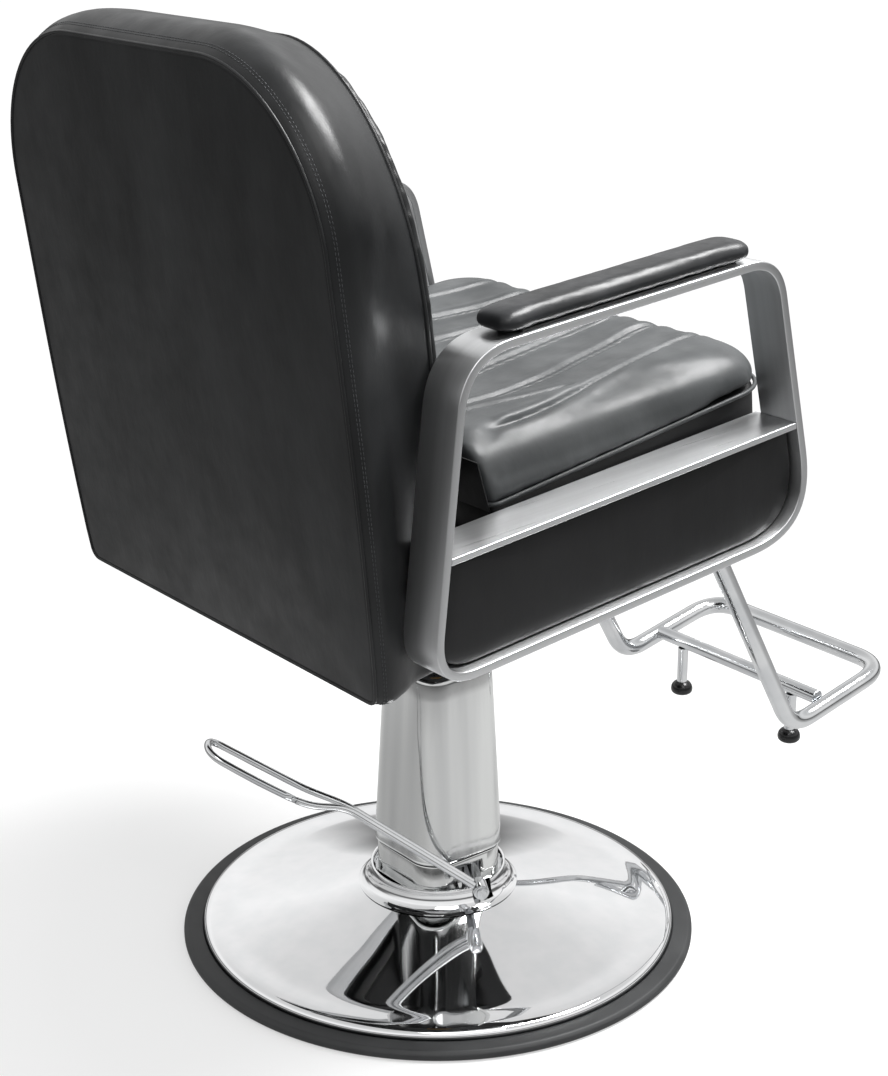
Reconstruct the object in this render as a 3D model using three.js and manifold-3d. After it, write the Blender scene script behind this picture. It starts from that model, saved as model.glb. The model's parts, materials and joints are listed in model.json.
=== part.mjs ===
// Hydraulic barber chair with loop arm frames, a full-length back and a fixed footrest.
// Units are millimetres, +Z is up, the sitter faces -Y and the sitter's left is +X.
// The origin is the centre of the base's underside, on the floor.

import * as THREE from 'three';
import { mergeVertices } from 'three/addons/utils/BufferGeometryUtils.js';
import Module from 'manifold-3d';

const wasm = await Module();
wasm.setup();

// ---------------------------------------------------------------- driving dimensions

const GAP = 0.3; // clearance between pieces that touch on the real chair

const RING_RADIUS = 300; // rubber ring round the base
const RING_HEIGHT = 12;
const COVER_RADIUS = 277; // chrome base cover, outer lip
const COVER_BREAK_RADIUS = 251; // where the lip band meets the cone
const COVER_BREAK_HEIGHT = 23;
const CONE_TOP_RADIUS = 84;
const CONE_TOP_HEIGHT = 57;
const SHEET = 2.2; // thickness of pressed metal covers

const FOOT_WIDTH = 119; // square foot of the column
const FOOT_BOTTOM = 58;
const FOOT_TOP = 106;
const COLUMN_WIDTH_BOTTOM = 125;
const COLUMN_WIDTH_TOP = 105;
const COLUMN_BOTTOM = 109;
const COLUMN_TOP = 336;
const COLUMN_CORNER = 34;

const ROD_RADIUS = 17; // hydraulic piston rod
const BARREL_RADIUS = 26;
const BARREL_BORE = 22;
const BLOCK_TOP = 70; // top of the pump block
const BLOCK_RADIUS = 52;
const BARREL_TOP = 322;
const ROD_SHOULDER = 470; // the rod's shoulder under the swivel bearing
const SPIGOT_RADIUS = 13;
const SADDLE_BOTTOM = 476;
const PISTON_BOTTOM = 194; // clears the block by the full downward travel of 122

const LEVER_HEADING = THREE.MathUtils.degToRad(30); // plan angle of the lever from +Y towards +X
const LEVER_OFFSET = 98; // distance of the lever's plane from the chair's axis
const CRANK_SETBACK = -33.7; // the crank axis, measured along the lever's heading
const CRANK_HEIGHT = 92;
const CRANK_RADIUS = 6;
const LEVER_ROD = 4; // radius of the lever's round bar
const PLUNGER_STATION = 28; // where the plunger stands along the crank axis
const CRANK_THROW = 14;
const NOSE_RADIUS = 5; // the crank's round nose, which presses the plunger

const SEAT_TILT = THREE.MathUtils.degToRad(5.8);
const SEAT_DATUM = 503; // height of the arm frames' lower edge above the chair's axis
const BACK_TILT = THREE.MathUtils.degToRad(7.4);
const BACK_FOOT = new THREE.Vector3(0, 284, 444); // lower rear edge of the back

const ARM_INNER = 274; // inner and outer planes of the arm frames
const ARM_OUTER = 325.4;
const ARM_BAR = 9; // thickness of the flat bar
const SHELF_TOP = 124;
const SHELF_THICKNESS = 7;

const TUBE_RADIUS = 11; // footrest tube
const FOOTREST_HALF_WIDTH = 150;

// ---------------------------------------------------------------- materials

const finish = (color, roughness, metalness) =>
  new THREE.MeshStandardMaterial({ color, roughness, metalness });

const CHROME = finish(0xd9dadb, 0.06, 1.0);
const SATIN_STEEL = finish(0xb4b5b6, 0.3, 1.0);
const BRUSHED_STEEL = finish(0xa9aaab, 0.36, 1.0);
const MACHINED_STEEL = finish(0x8f9193, 0.35, 1.0);
const CAST_IRON = finish(0x3a3b3d, 0.7, 0.6);
const BLACK_PAINT = finish(0x17181a, 0.45, 0.3);
const RUBBER = finish(0x1b1c1d, 0.75, 0.0);
const BACK_LEATHER = finish(0x2e2f30, 0.45, 0.0);
const SEAT_LEATHER = finish(0x56585a, 0.5, 0.0);
const PAD_LEATHER = finish(0x303234, 0.4, 0.0);
const PLYWOOD = finish(0xa5835c, 0.8, 0.0);
const BRONZE = finish(0xa98a4c, 0.4, 1.0);
const SPRING_STEEL = finish(0x777a7d, 0.3, 1.0);

// ---------------------------------------------------------------- geometry helpers

/** Signed volume of an indexed geometry; negative when its faces point inwards. */
function signedVolume(geometry) {
  const place = geometry.attributes.position;
  const index = geometry.index.array;
  const [a, b, c] = [new THREE.Vector3(), new THREE.Vector3(), new THREE.Vector3()];
  let volume = 0;
  for (let i = 0; i < index.length; i += 3) {
    a.fromBufferAttribute(place, index[i]);
    b.fromBufferAttribute(place, index[i + 1]);
    c.fromBufferAttribute(place, index[i + 2]);
    volume += a.dot(b.cross(c)) / 6;
  }
  return volume;
}

/** Position-only, welded copy of a geometry, without flat triangles and with its faces outwards. */
function weld(geometry) {
  const bare = geometry.clone();
  for (const name of Object.keys(bare.attributes)) {
    if (name !== 'position') bare.deleteAttribute(name);
  }
  const merged = mergeVertices(bare, 1e-3);
  const source = merged.index.array;
  const kept = [];
  for (let i = 0; i < source.length; i += 3) {
    const [a, b, c] = [source[i], source[i + 1], source[i + 2]];
    if (a !== b && b !== c && c !== a) kept.push(a, b, c);
  }
  merged.setIndex(kept);
  if (signedVolume(merged) < 0) merged.setIndex(kept.reverse());
  return merged;
}

function toSolid(geometry) {
  const welded = weld(geometry);
  return new wasm.Manifold(new wasm.Mesh({
    numProp: 3,
    vertProperties: new Float32Array(welded.attributes.position.array),
    triVerts: new Uint32Array(welded.index.array),
  }));
}

function fromSolid(solid) {
  const mesh = solid.getMesh();
  const geometry = new THREE.BufferGeometry();
  geometry.setAttribute('position', new THREE.BufferAttribute(new Float32Array(mesh.vertProperties), 3));
  geometry.setIndex([...mesh.triVerts]);
  return geometry;
}

function cut(body, ...tools) {
  return fromSolid(tools.reduce((solid, tool) => solid.subtract(toSolid(tool)), toSolid(body)));
}

function join(...bodies) {
  return fromSolid(bodies.map(toSolid).reduce((solid, other) => solid.add(other)));
}

/** A round solid or ring about +Z from [radius, height] points. */
function turned(profile, segments = 36) {
  const points = profile.map(([radius, height]) => new THREE.Vector2(radius, height));
  return new THREE.LatheGeometry(points, segments).rotateX(Math.PI / 2);
}

/** A ring of rectangular section about +Z. */
function ring(innerRadius, outerRadius, bottom, top, segments = 24) {
  return turned([
    [innerRadius, bottom],
    [outerRadius, bottom],
    [outerRadius, top],
    [innerRadius, top],
    [innerRadius, bottom],
  ], segments);
}

/** A round bar between two heights about +Z. */
function rod(radius, bottom, top, sides = 24) {
  return turned([[0, bottom], [radius, bottom], [radius, top], [0, top]], sides);
}

/** A box from its lowest and highest corners. */
function block(low, high) {
  const size = high.map((value, i) => value - low[i]);
  const middle = high.map((value, i) => (value + low[i]) / 2);
  return new THREE.BoxGeometry(...size).translate(...middle);
}

/** A round bar along X between two stations, at a place in Y and Z. */
function crossRod(radius, from, to, y, z, sides = 16) {
  return new THREE.CylinderGeometry(radius, radius, to - from, sides)
    .rotateZ(Math.PI / 2)
    .translate((from + to) / 2, y, z);
}

/** Closed solid through parallel outlines that all have the same number of points. */
function loft(sections) {
  const count = sections[0].length;
  const positions = [];
  const index = [];
  for (const section of sections) {
    for (const point of section) positions.push(point.x, point.y, point.z);
  }
  for (let level = 0; level + 1 < sections.length; level += 1) {
    for (let i = 0; i < count; i += 1) {
      const a = level * count + i;
      const b = level * count + ((i + 1) % count);
      index.push(a, b, b + count, a, b + count, a + count);
    }
  }
  const closeEnd = (level) => {
    const centre = new THREE.Vector3();
    for (const point of sections[level]) centre.addScaledVector(point, 1 / count);
    const hub = positions.length / 3;
    positions.push(centre.x, centre.y, centre.z);
    for (let i = 0; i < count; i += 1) {
      const a = level * count + i;
      const b = level * count + ((i + 1) % count);
      if (level === 0) index.push(hub, b, a);
      else index.push(hub, a, b);
    }
  };
  closeEnd(0);
  closeEnd(sections.length - 1);
  const geometry = new THREE.BufferGeometry();
  geometry.setAttribute('position', new THREE.Float32BufferAttribute(positions, 3));
  geometry.setIndex(index);
  return geometry;
}

/** Points of a rounded rectangle centred on the axis, in the plane of its first two axes. */
function roundedRectangle(halfX, halfY, radius, arcSteps = 5) {
  const points = [];
  const corners = [[1, 1], [-1, 1], [-1, -1], [1, -1]];
  corners.forEach(([signX, signY], corner) => {
    for (let i = 0; i <= arcSteps; i += 1) {
      const angle = (corner + i / arcSteps) * (Math.PI / 2);
      points.push([
        signX * (halfX - radius) + radius * Math.cos(angle),
        signY * (halfY - radius) + radius * Math.sin(angle),
      ]);
    }
  });
  return points;
}

/** Rounded-square section of the column at a height. */
function columnSection(width, radius, height) {
  return roundedRectangle(width / 2, width / 2, radius, 6).map(([x, y]) => new THREE.Vector3(x, y, height));
}

/** Closed path through corners, each rounded by a quadratic fillet of its own setback. */
function filletedLoop(Target, corners, setbacks) {
  const path = new Target();
  corners.forEach((corner, i) => {
    const before = corners[(i + corners.length - 1) % corners.length];
    const after = corners[(i + 1) % corners.length];
    const towards = (end) => corner.clone().lerp(end, setbacks[i] / corner.distanceTo(end));
    const start = towards(before);
    const finish = towards(after);
    if (i === 0) path.moveTo(start.x, start.y);
    else path.lineTo(start.x, start.y);
    path.quadraticCurveTo(corner.x, corner.y, finish.x, finish.y);
  });
  return path;
}

/** Open 3-D path through corners, with its inner corners rounded by quadratic fillets. */
function filletedPath(corners, setback) {
  const path = new THREE.CurvePath();
  let last = corners[0];
  for (let i = 1; i + 1 < corners.length; i += 1) {
    const towards = (end) => corners[i].clone().lerp(end, setback[i] / corners[i].distanceTo(end));
    const start = towards(corners[i - 1]);
    const finish = towards(corners[i + 1]);
    path.add(new THREE.LineCurve3(last, start));
    path.add(new THREE.QuadraticBezierCurve3(start, corners[i], finish));
    last = finish;
  }
  path.add(new THREE.LineCurve3(last, corners[corners.length - 1]));
  return path;
}

/** Round bar swept along a path. */
function sweep(path, radius, steps, sides = 10) {
  const corners = Array.from({ length: sides }, (_, i) => {
    const angle = (2 * Math.PI * i) / sides;
    return new THREE.Vector2(radius * Math.cos(angle), radius * Math.sin(angle));
  });
  const shape = new THREE.Shape(corners);
  return new THREE.ExtrudeGeometry(shape, { steps, bevelEnabled: false, extrudePath: path });
}

/** Polygon offset inwards by a distance; its corners run counter-clockwise. */
function inset(corners, distance) {
  const edges = corners.map((corner, i) => {
    const next = corners[(i + 1) % corners.length];
    const along = next.clone().sub(corner).normalize();
    const inward = new THREE.Vector2(-along.y, along.x);
    return { start: corner.clone().addScaledVector(inward, distance), along };
  });
  return edges.map((edge, i) => {
    const last = edges[(i + edges.length - 1) % edges.length];
    const across = last.along.cross(edge.along);
    const reach = edge.start.clone().sub(last.start).cross(edge.along) / across;
    return last.start.clone().addScaledVector(last.along, reach);
  });
}

/** Extrusion along X of a shape drawn in the Y-Z plane, between two X stations. */
function extrudeAcross(shape, from, to, curveSegments = 8) {
  const solid = new THREE.ExtrudeGeometry(shape, { depth: to - from, curveSegments, bevelEnabled: false });
  const turn = new THREE.Matrix4().makeBasis(
    new THREE.Vector3(0, 1, 0),
    new THREE.Vector3(0, 0, 1),
    new THREE.Vector3(1, 0, 0),
  );
  return solid.applyMatrix4(turn).translate(from, 0, 0);
}

/** Adds a named mesh to a group. */
function place(group, name, geometry, material) {
  const welded = weld(geometry);
  welded.computeVertexNormals();
  const mesh = new THREE.Mesh(welded, material);
  mesh.name = name;
  group.add(mesh);
}

/** Mirror image in the plane X = 0. */
const mirrored = (geometry) => geometry.clone().scale(-1, 1, 1);

/** Adds a left piece at +X and its mirror image at -X. */
function placePair(group, name, geometry, material) {
  place(group, `${name}_left`, geometry, material);
  place(group, `${name}_right`, mirrored(geometry), material);
}

const chair = new THREE.Group();

// ---------------------------------------------------------------- base

const WEIGHT_RADIUS = 266;
place(chair, 'base_weight', turned([
  [0, 0],
  [WEIGHT_RADIUS, 0],
  [WEIGHT_RADIUS, 9],
  [CONE_TOP_RADIUS + 20, 14],
  [CONE_TOP_RADIUS - 14, 22],
  [CONE_TOP_RADIUS - 20, FOOT_BOTTOM - 6],
  [0, FOOT_BOTTOM - 6],
], 48), CAST_IRON);

place(chair, 'rubber_ring', turned([
  [WEIGHT_RADIUS + GAP, 0],
  [RING_RADIUS - 3, 0],
  [RING_RADIUS, 3],
  [RING_RADIUS, RING_HEIGHT - 4],
  [RING_RADIUS - 4, RING_HEIGHT],
  [COVER_RADIUS + 1, RING_HEIGHT],
  [COVER_RADIUS - 1, RING_HEIGHT - 2],
  [WEIGHT_RADIUS + GAP, RING_HEIGHT - 2],
  [WEIGHT_RADIUS + GAP, 0],
], 48), RUBBER);

/** The cone sags a little between its lip and its top, as spun metal does. */
function coneProfile(inset) {
  const profile = [];
  const sag = 5;
  const steps = 5;
  for (let i = 0; i <= steps; i += 1) {
    const t = i / steps;
    const radius = THREE.MathUtils.lerp(COVER_BREAK_RADIUS, CONE_TOP_RADIUS, t);
    const height = THREE.MathUtils.lerp(COVER_BREAK_HEIGHT, CONE_TOP_HEIGHT, t) - sag * Math.sin(Math.PI * t);
    profile.push([radius - inset * 0.2, height - inset]);
  }
  return profile;
}
const lipProfile = [
  [COVER_RADIUS, RING_HEIGHT + GAP],
  [COVER_RADIUS - 2, RING_HEIGHT + 4],
  [COVER_RADIUS - 11, COVER_BREAK_HEIGHT - 2.5],
];
const lipInside = lipProfile.map(([radius, height]) => [radius - SHEET, height]).reverse();
const coverProfile = [...lipProfile, ...coneProfile(0), ...coneProfile(SHEET).reverse(), ...lipInside];
place(chair, 'base_cover', turned([...coverProfile, coverProfile[0]], 48), CHROME);

const crankAlong = new THREE.Vector3(-Math.cos(LEVER_HEADING), Math.sin(LEVER_HEADING), 0);
const leverAlong = new THREE.Vector3(Math.sin(LEVER_HEADING), Math.cos(LEVER_HEADING), 0);
const CRANK_SLOT = { centre: -2, halfWidth: 14, sill: FOOT_BOTTOM + 3, top: CRANK_HEIGHT + 10 };
const collarRing = turned([
  [CONE_TOP_RADIUS, CONE_TOP_HEIGHT + GAP],
  [79.5, 62],
  [78, 68],
  [79, 75],
  [81.5, 80],
  [79.5, 80],
  [75.5, 72],
  [75.5, CONE_TOP_HEIGHT + GAP],
  [CONE_TOP_RADIUS, CONE_TOP_HEIGHT + GAP],
], 36);
const slotTool = block(
  [-110, CRANK_SLOT.centre - CRANK_SLOT.halfWidth, CRANK_SLOT.sill],
  [-40, CRANK_SLOT.centre + CRANK_SLOT.halfWidth, CRANK_SLOT.top],
);
place(chair, 'base_collar', cut(collarRing, slotTool), CHROME);

// ---------------------------------------------------------------- column

const footOuter = loft([FOOT_BOTTOM, FOOT_TOP].map((z) => columnSection(FOOT_WIDTH, COLUMN_CORNER - 2, z)));
const footInner = loft([FOOT_BOTTOM - 5, FOOT_TOP + 5].map((z) => columnSection(
  FOOT_WIDTH - 2 * SHEET,
  COLUMN_CORNER - 2 - SHEET,
  z,
)));
place(chair, 'column_foot', cut(footOuter, footInner, slotTool), SATIN_STEEL);

/** Width of the tapered column at a height. */
const columnWidth = (z) => THREE.MathUtils.mapLinear(
  z,
  COLUMN_BOTTOM,
  COLUMN_TOP,
  COLUMN_WIDTH_BOTTOM,
  COLUMN_WIDTH_TOP,
);
const TOP_ROUND = 7;
const columnOuter = loft([
  columnSection(COLUMN_WIDTH_BOTTOM - 3, COLUMN_CORNER - 1.5, COLUMN_BOTTOM),
  columnSection(COLUMN_WIDTH_BOTTOM, COLUMN_CORNER, COLUMN_BOTTOM + 3),
  columnSection(columnWidth(COLUMN_TOP - TOP_ROUND), COLUMN_CORNER - 3, COLUMN_TOP - TOP_ROUND),
  columnSection(COLUMN_WIDTH_TOP - 4, COLUMN_CORNER - 5, COLUMN_TOP - 2),
  columnSection(COLUMN_WIDTH_TOP - 12, COLUMN_CORNER - 9, COLUMN_TOP),
]);
const columnInner = loft([
  columnSection(COLUMN_WIDTH_BOTTOM - 2 * SHEET - 3, COLUMN_CORNER - SHEET - 1.5, COLUMN_BOTTOM - 2),
  columnSection(columnWidth(COLUMN_TOP - 10) - 2 * SHEET, COLUMN_CORNER - 3 - SHEET, COLUMN_TOP - 10),
  columnSection(COLUMN_WIDTH_TOP - 18, COLUMN_CORNER - 12, COLUMN_TOP - SHEET),
]);
const BUSHING_RADIUS = 25;
place(
  chair,
  'column_cover',
  cut(columnOuter, columnInner, rod(BUSHING_RADIUS, COLUMN_TOP - 20, COLUMN_TOP + 20)),
  SATIN_STEEL,
);
place(chair, 'rod_bushing', turned([
  [ROD_RADIUS + 0.4, BARREL_TOP + 10 + GAP],
  [BUSHING_RADIUS - GAP, BARREL_TOP + 10 + GAP],
  [BUSHING_RADIUS - GAP, COLUMN_TOP + GAP],
  [BUSHING_RADIUS + 6, COLUMN_TOP + GAP],
  [BUSHING_RADIUS + 4, COLUMN_TOP + 5],
  [ROD_RADIUS + 0.4, COLUMN_TOP + 7],
  [ROD_RADIUS + 0.4, BARREL_TOP + 10 + GAP],
], 24), BLACK_PAINT);

// ---------------------------------------------------------------- pump inside the column

/** Point given along the crank axis, along the lever's heading and in height. */
const pumpPoint = (along, ahead, height) => new THREE.Vector3()
  .addScaledVector(crankAlong, along)
  .addScaledVector(leverAlong, ahead)
  .add(new THREE.Vector3(0, 0, height));

/** Turns a piece drawn with X along the lever's heading and Y along the crank axis into place. */
function intoPumpFrame(geometry) {
  const basis = new THREE.Matrix4().makeBasis(leverAlong, crankAlong, new THREE.Vector3(0, 0, 1));
  return geometry.applyMatrix4(basis);
}

const PLUNGER_AHEAD = CRANK_SETBACK + CRANK_THROW;
const plungerAt = pumpPoint(PLUNGER_STATION, PLUNGER_AHEAD, 0);
const PLUNGER_RADIUS = 5;
const plungerBore = rod(PLUNGER_RADIUS + 0.4, BLOCK_TOP - 15, BLOCK_TOP + 5, 20)
  .translate(plungerAt.x, plungerAt.y, 0);
const blockBody = rod(BLOCK_RADIUS, FOOT_BOTTOM - 6 + GAP, BLOCK_TOP, 32);
place(chair, 'pump_block', cut(blockBody, plungerBore), CAST_IRON);

place(chair, 'cylinder_barrel', turned([
  [0, BLOCK_TOP + GAP],
  [BARREL_RADIUS, BLOCK_TOP + GAP],
  [BARREL_RADIUS, BARREL_TOP],
  [BARREL_BORE, BARREL_TOP],
  [BARREL_BORE, BLOCK_TOP + 2],
  [0, BLOCK_TOP + 2],
], 24), MACHINED_STEEL);
place(chair, 'gland_nut', ring(ROD_RADIUS + 0.4, 28, BARREL_TOP + GAP, BARREL_TOP + 10, 24), BRONZE);

const TANK_RADIUS = 45;
const TANK_BOTTOM = 116;
const TANK_TOP = 312;
place(chair, 'oil_reservoir', turned([
  [TANK_RADIUS - 2, TANK_BOTTOM],
  [TANK_RADIUS, TANK_BOTTOM],
  [TANK_RADIUS, TANK_TOP],
  [BARREL_RADIUS + GAP, TANK_TOP],
  [BARREL_RADIUS + GAP, TANK_TOP - 2],
  [TANK_RADIUS - 2, TANK_TOP - 2],
  [TANK_RADIUS - 2, TANK_BOTTOM],
], 24), BLACK_PAINT);

const EAR_HALF = 9;
const EAR_TOP = CRANK_HEIGHT + 10;
const bracketBack = CRANK_SETBACK - EAR_HALF;
const bracketFront = CRANK_SETBACK + EAR_HALF;
const crankBore = crossRod(CRANK_RADIUS + 0.3, -60, 120, 0, CRANK_HEIGHT)
  .rotateZ(Math.PI / 2)
  .translate(CRANK_SETBACK, 0, 0);
const crankBracket = cut(
  join(
    block([bracketBack, -18, BLOCK_TOP + GAP], [CRANK_SETBACK + 6, 40, BLOCK_TOP + 4]),
    block([bracketBack, -18, BLOCK_TOP + GAP], [bracketFront, -13, EAR_TOP]),
    block([bracketBack, 36, BLOCK_TOP + GAP], [bracketFront, 40, EAR_TOP]),
  ),
  crankBore,
);
place(chair, 'crank_bracket', intoPumpFrame(crankBracket), MACHINED_STEEL);

const PUMP_BOLT_BEARINGS = [-100, -40, 40, 100]; // degrees from the lever's heading
PUMP_BOLT_BEARINGS.forEach((bearing, i) => {
  const angle = THREE.MathUtils.degToRad(bearing);
  const centre = pumpPoint(45 * Math.sin(angle), 45 * Math.cos(angle), 0);
  const head = rod(4.5, BLOCK_TOP + GAP, BLOCK_TOP + 5, 6).translate(centre.x, centre.y, 0);
  place(chair, `pump_bolt_${i + 1}`, head, MACHINED_STEEL);
});

class Helix extends THREE.Curve {
  constructor(radius, bottom, top, turns) {
    super();
    Object.assign(this, { radius, bottom, top, turns });
  }

  getPoint(t, target = new THREE.Vector3()) {
    const angle = 2 * Math.PI * this.turns * t;
    return target.set(
      this.radius * Math.cos(angle),
      this.radius * Math.sin(angle),
      THREE.MathUtils.lerp(this.bottom, this.top, t),
    );
  }
}
const PLUNGER_TOP = CRANK_HEIGHT - NOSE_RADIUS - GAP;
const SPRING_WIRE = 0.7;
const springCurve = new Helix(6.5, BLOCK_TOP + 1.2, PLUNGER_TOP - 3.5 - 1.2, 4);
place(
  chair,
  'plunger_spring',
  sweep(springCurve, SPRING_WIRE, 48, 5).translate(plungerAt.x, plungerAt.y, 0),
  SPRING_STEEL,
);
place(chair, 'pump_plunger', turned([
  [0, BLOCK_TOP - 8],
  [PLUNGER_RADIUS, BLOCK_TOP - 8],
  [PLUNGER_RADIUS, PLUNGER_TOP - 3.5],
  [7.6, PLUNGER_TOP - 3.5],
  [7.6, PLUNGER_TOP],
  [0, PLUNGER_TOP],
], 20).translate(plungerAt.x, plungerAt.y, 0), MACHINED_STEEL);

// ---------------------------------------------------------------- pump lever

const HUB_RADIUS = 9;
const hubInner = LEVER_OFFSET - 11;
const hubOuter = LEVER_OFFSET + 11;
const crank = join(
  crossRod(CRANK_RADIUS, -20, hubInner - GAP, 0, CRANK_HEIGHT)
    .rotateZ(Math.PI / 2)
    .translate(CRANK_SETBACK, 0, 0),
  block(
    [CRANK_SETBACK, PLUNGER_STATION - 3, CRANK_HEIGHT - 2.5],
    [CRANK_SETBACK + CRANK_THROW, PLUNGER_STATION + 3, CRANK_HEIGHT + 2.5],
  ),
  crossRod(NOSE_RADIUS, PLUNGER_STATION - 3, PLUNGER_STATION + 3, 0, CRANK_HEIGHT)
    .rotateZ(Math.PI / 2)
    .translate(CRANK_SETBACK + CRANK_THROW, 0, 0),
);
place(chair, 'crank_shaft', intoPumpFrame(crank), MACHINED_STEEL);
const hub = crossRod(HUB_RADIUS, hubInner, hubOuter, 0, CRANK_HEIGHT)
  .rotateZ(Math.PI / 2)
  .translate(CRANK_SETBACK, 0, 0);
place(chair, 'lever_hub', intoPumpFrame(hub), CHROME);
const bolt = join(
  crossRod(6.5, hubOuter + GAP, hubOuter + 5, 0, CRANK_HEIGHT, 6),
  crossRod(8, hubOuter + GAP, hubOuter + 1.6, 0, CRANK_HEIGHT, 24),
).rotateZ(Math.PI / 2).translate(CRANK_SETBACK, 0, 0);
place(chair, 'lever_bolt', intoPumpFrame(bolt), CHROME);

// The lever is one bar bent double: two legs side by side, then a long open grip loop.
const GRIP_HALF = 21;
const GRIP_BOW = 6; // how much further the outer leg of the grip bows
const LEG_HALF = LEVER_ROD + 0.6;
const NECK = { ahead: 118, height: 207 };
const GRIP_START = { ahead: 161, height: 221 };
const TIP = { ahead: 266, height: 290 };
const GRIP_MIDDLE = {
  ahead: THREE.MathUtils.lerp(GRIP_START.ahead, TIP.ahead, 0.45),
  height: THREE.MathUtils.lerp(GRIP_START.height, TIP.height, 0.45),
};
const legStart = {
  ahead: CRANK_SETBACK + (HUB_RADIUS + GAP + 1) * 0.8,
  height: CRANK_HEIGHT + (HUB_RADIUS + GAP + 1) * 0.6,
};
const leverPoint = (station, side) => pumpPoint(LEVER_OFFSET + side, station.ahead, station.height);
const leverCorners = [
  leverPoint(legStart, -LEG_HALF),
  leverPoint(NECK, -LEG_HALF),
  leverPoint(GRIP_START, -GRIP_HALF),
  leverPoint(TIP, -GRIP_HALF),
  leverPoint(TIP, GRIP_HALF),
  leverPoint(GRIP_MIDDLE, GRIP_HALF + GRIP_BOW),
  leverPoint(GRIP_START, GRIP_HALF),
  leverPoint(NECK, LEG_HALF),
  leverPoint(legStart, LEG_HALF),
];
place(
  chair,
  'lever_rod',
  sweep(filletedPath(leverCorners, [0, 12, 14, 20, 20, 30, 14, 12, 0]), LEVER_ROD, 90, 8),
  CHROME,
);

// ---------------------------------------------------------------- piston rod

place(chair, 'piston_rod', turned([
  [0, PISTON_BOTTOM + 16 + GAP],
  [ROD_RADIUS, PISTON_BOTTOM + 16 + GAP],
  [ROD_RADIUS, ROD_SHOULDER],
  [SPIGOT_RADIUS, ROD_SHOULDER],
  [SPIGOT_RADIUS, SADDLE_BOTTOM + 13],
  [0, SADDLE_BOTTOM + 13],
], 24), CHROME);
place(chair, 'piston_head', rod(BARREL_BORE - 0.7, PISTON_BOTTOM, PISTON_BOTTOM + 16, 24), BRONZE);
place(
  chair,
  'swivel_bearing',
  ring(SPIGOT_RADIUS + 0.3, 24, ROD_SHOULDER + GAP, SADDLE_BOTTOM - GAP),
  BRONZE,
);

// ---------------------------------------------------------------- seat frame, tilted with the seat

const seat = new THREE.Group();
seat.position.set(0, 0, SEAT_DATUM);
seat.rotation.x = -SEAT_TILT;
chair.add(seat);

const RAIL_BOTTOM = -11;
const RAIL_TOP = 1;
const saddleShape = new THREE.Shape([
  [-90, SADDLE_BOTTOM],
  [90, SADDLE_BOTTOM],
  [90, SEAT_DATUM + (RAIL_BOTTOM - GAP) / Math.cos(SEAT_TILT) - 90 * Math.tan(SEAT_TILT)],
  [-90, SEAT_DATUM + (RAIL_BOTTOM - GAP) / Math.cos(SEAT_TILT) + 90 * Math.tan(SEAT_TILT)],
].map(([y, z]) => new THREE.Vector2(y, z)));
const saddleBore = rod(SPIGOT_RADIUS + 0.3, SADDLE_BOTTOM - 10, SADDLE_BOTTOM + 60);
place(chair, 'saddle_bracket', cut(extrudeAcross(saddleShape, -112, 112), saddleBore), BLACK_PAINT);

placePair(seat, 'seat_rail', block([80, -200, RAIL_BOTTOM], [110, 172, RAIL_TOP]), BLACK_PAINT);
const CROSSBAR_TOP = 13;
for (const [name, station] of [['crossbar_front', -60], ['crossbar_rear', 100]]) {
  place(
    seat,
    name,
    block(
      [-ARM_INNER + GAP, station - 20, RAIL_TOP + GAP],
      [ARM_INNER - GAP, station + 20, CROSSBAR_TOP],
    ),
    BLACK_PAINT,
  );
}

// ---------------------------------------------------------------- seat

const SEAT_HALF = 262;
const SEAT_FRONT = -277;
const SEAT_REAR = 138;

/** Rounded-rectangle section of the seat at a height in the seat's frame. */
function seatSection(halfWidth, front, rear, radius, height) {
  const middle = (front + rear) / 2;
  return roundedRectangle(halfWidth, (rear - front) / 2, radius)
    .map(([x, y]) => new THREE.Vector3(x, middle + y, height));
}
place(seat, 'seat_base', loft([
  seatSection(SEAT_HALF - 6, SEAT_FRONT + 26, SEAT_REAR - 8, 20, CROSSBAR_TOP + 1),
  seatSection(SEAT_HALF - 6, SEAT_FRONT + 20, SEAT_REAR - 6, 20, 54),
]), BACK_LEATHER);
place(seat, 'seat_board', block(
  [-SEAT_HALF + 12, SEAT_FRONT + 30, 54 + GAP],
  [SEAT_HALF - 12, SEAT_REAR - 14, 66],
), PLYWOOD);
place(seat, 'seat_cushion', loft([
  seatSection(SEAT_HALF - 8, SEAT_FRONT + 14, SEAT_REAR - 6, 40, 66 + GAP),
  seatSection(SEAT_HALF, SEAT_FRONT, SEAT_REAR, 54, 84),
  seatSection(SEAT_HALF, SEAT_FRONT, SEAT_REAR, 54, 150),
  seatSection(SEAT_HALF - 10, SEAT_FRONT + 3, SEAT_REAR - 1, 56, 168),
  seatSection(SEAT_HALF - 50, SEAT_FRONT + 27, SEAT_REAR - 12, 58, 186),
]), SEAT_LEATHER);

// ---------------------------------------------------------------- back

const back = new THREE.Group();
back.position.copy(BACK_FOOT);
back.rotation.x = -BACK_TILT;
chair.add(back);

const REAR_CORNER = [164, 164]; // half-axes of the upper corners' quarter ellipses, rear outline
const FRONT_CORNER = [168, 250]; // and front outline
const FRONT_HALF = 270;
const FRONT_TOP = 606;
const FOOT_NARROWING = 12; // the back is this much narrower on each side at its foot
const CORNER_STEPS = 10;

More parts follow.
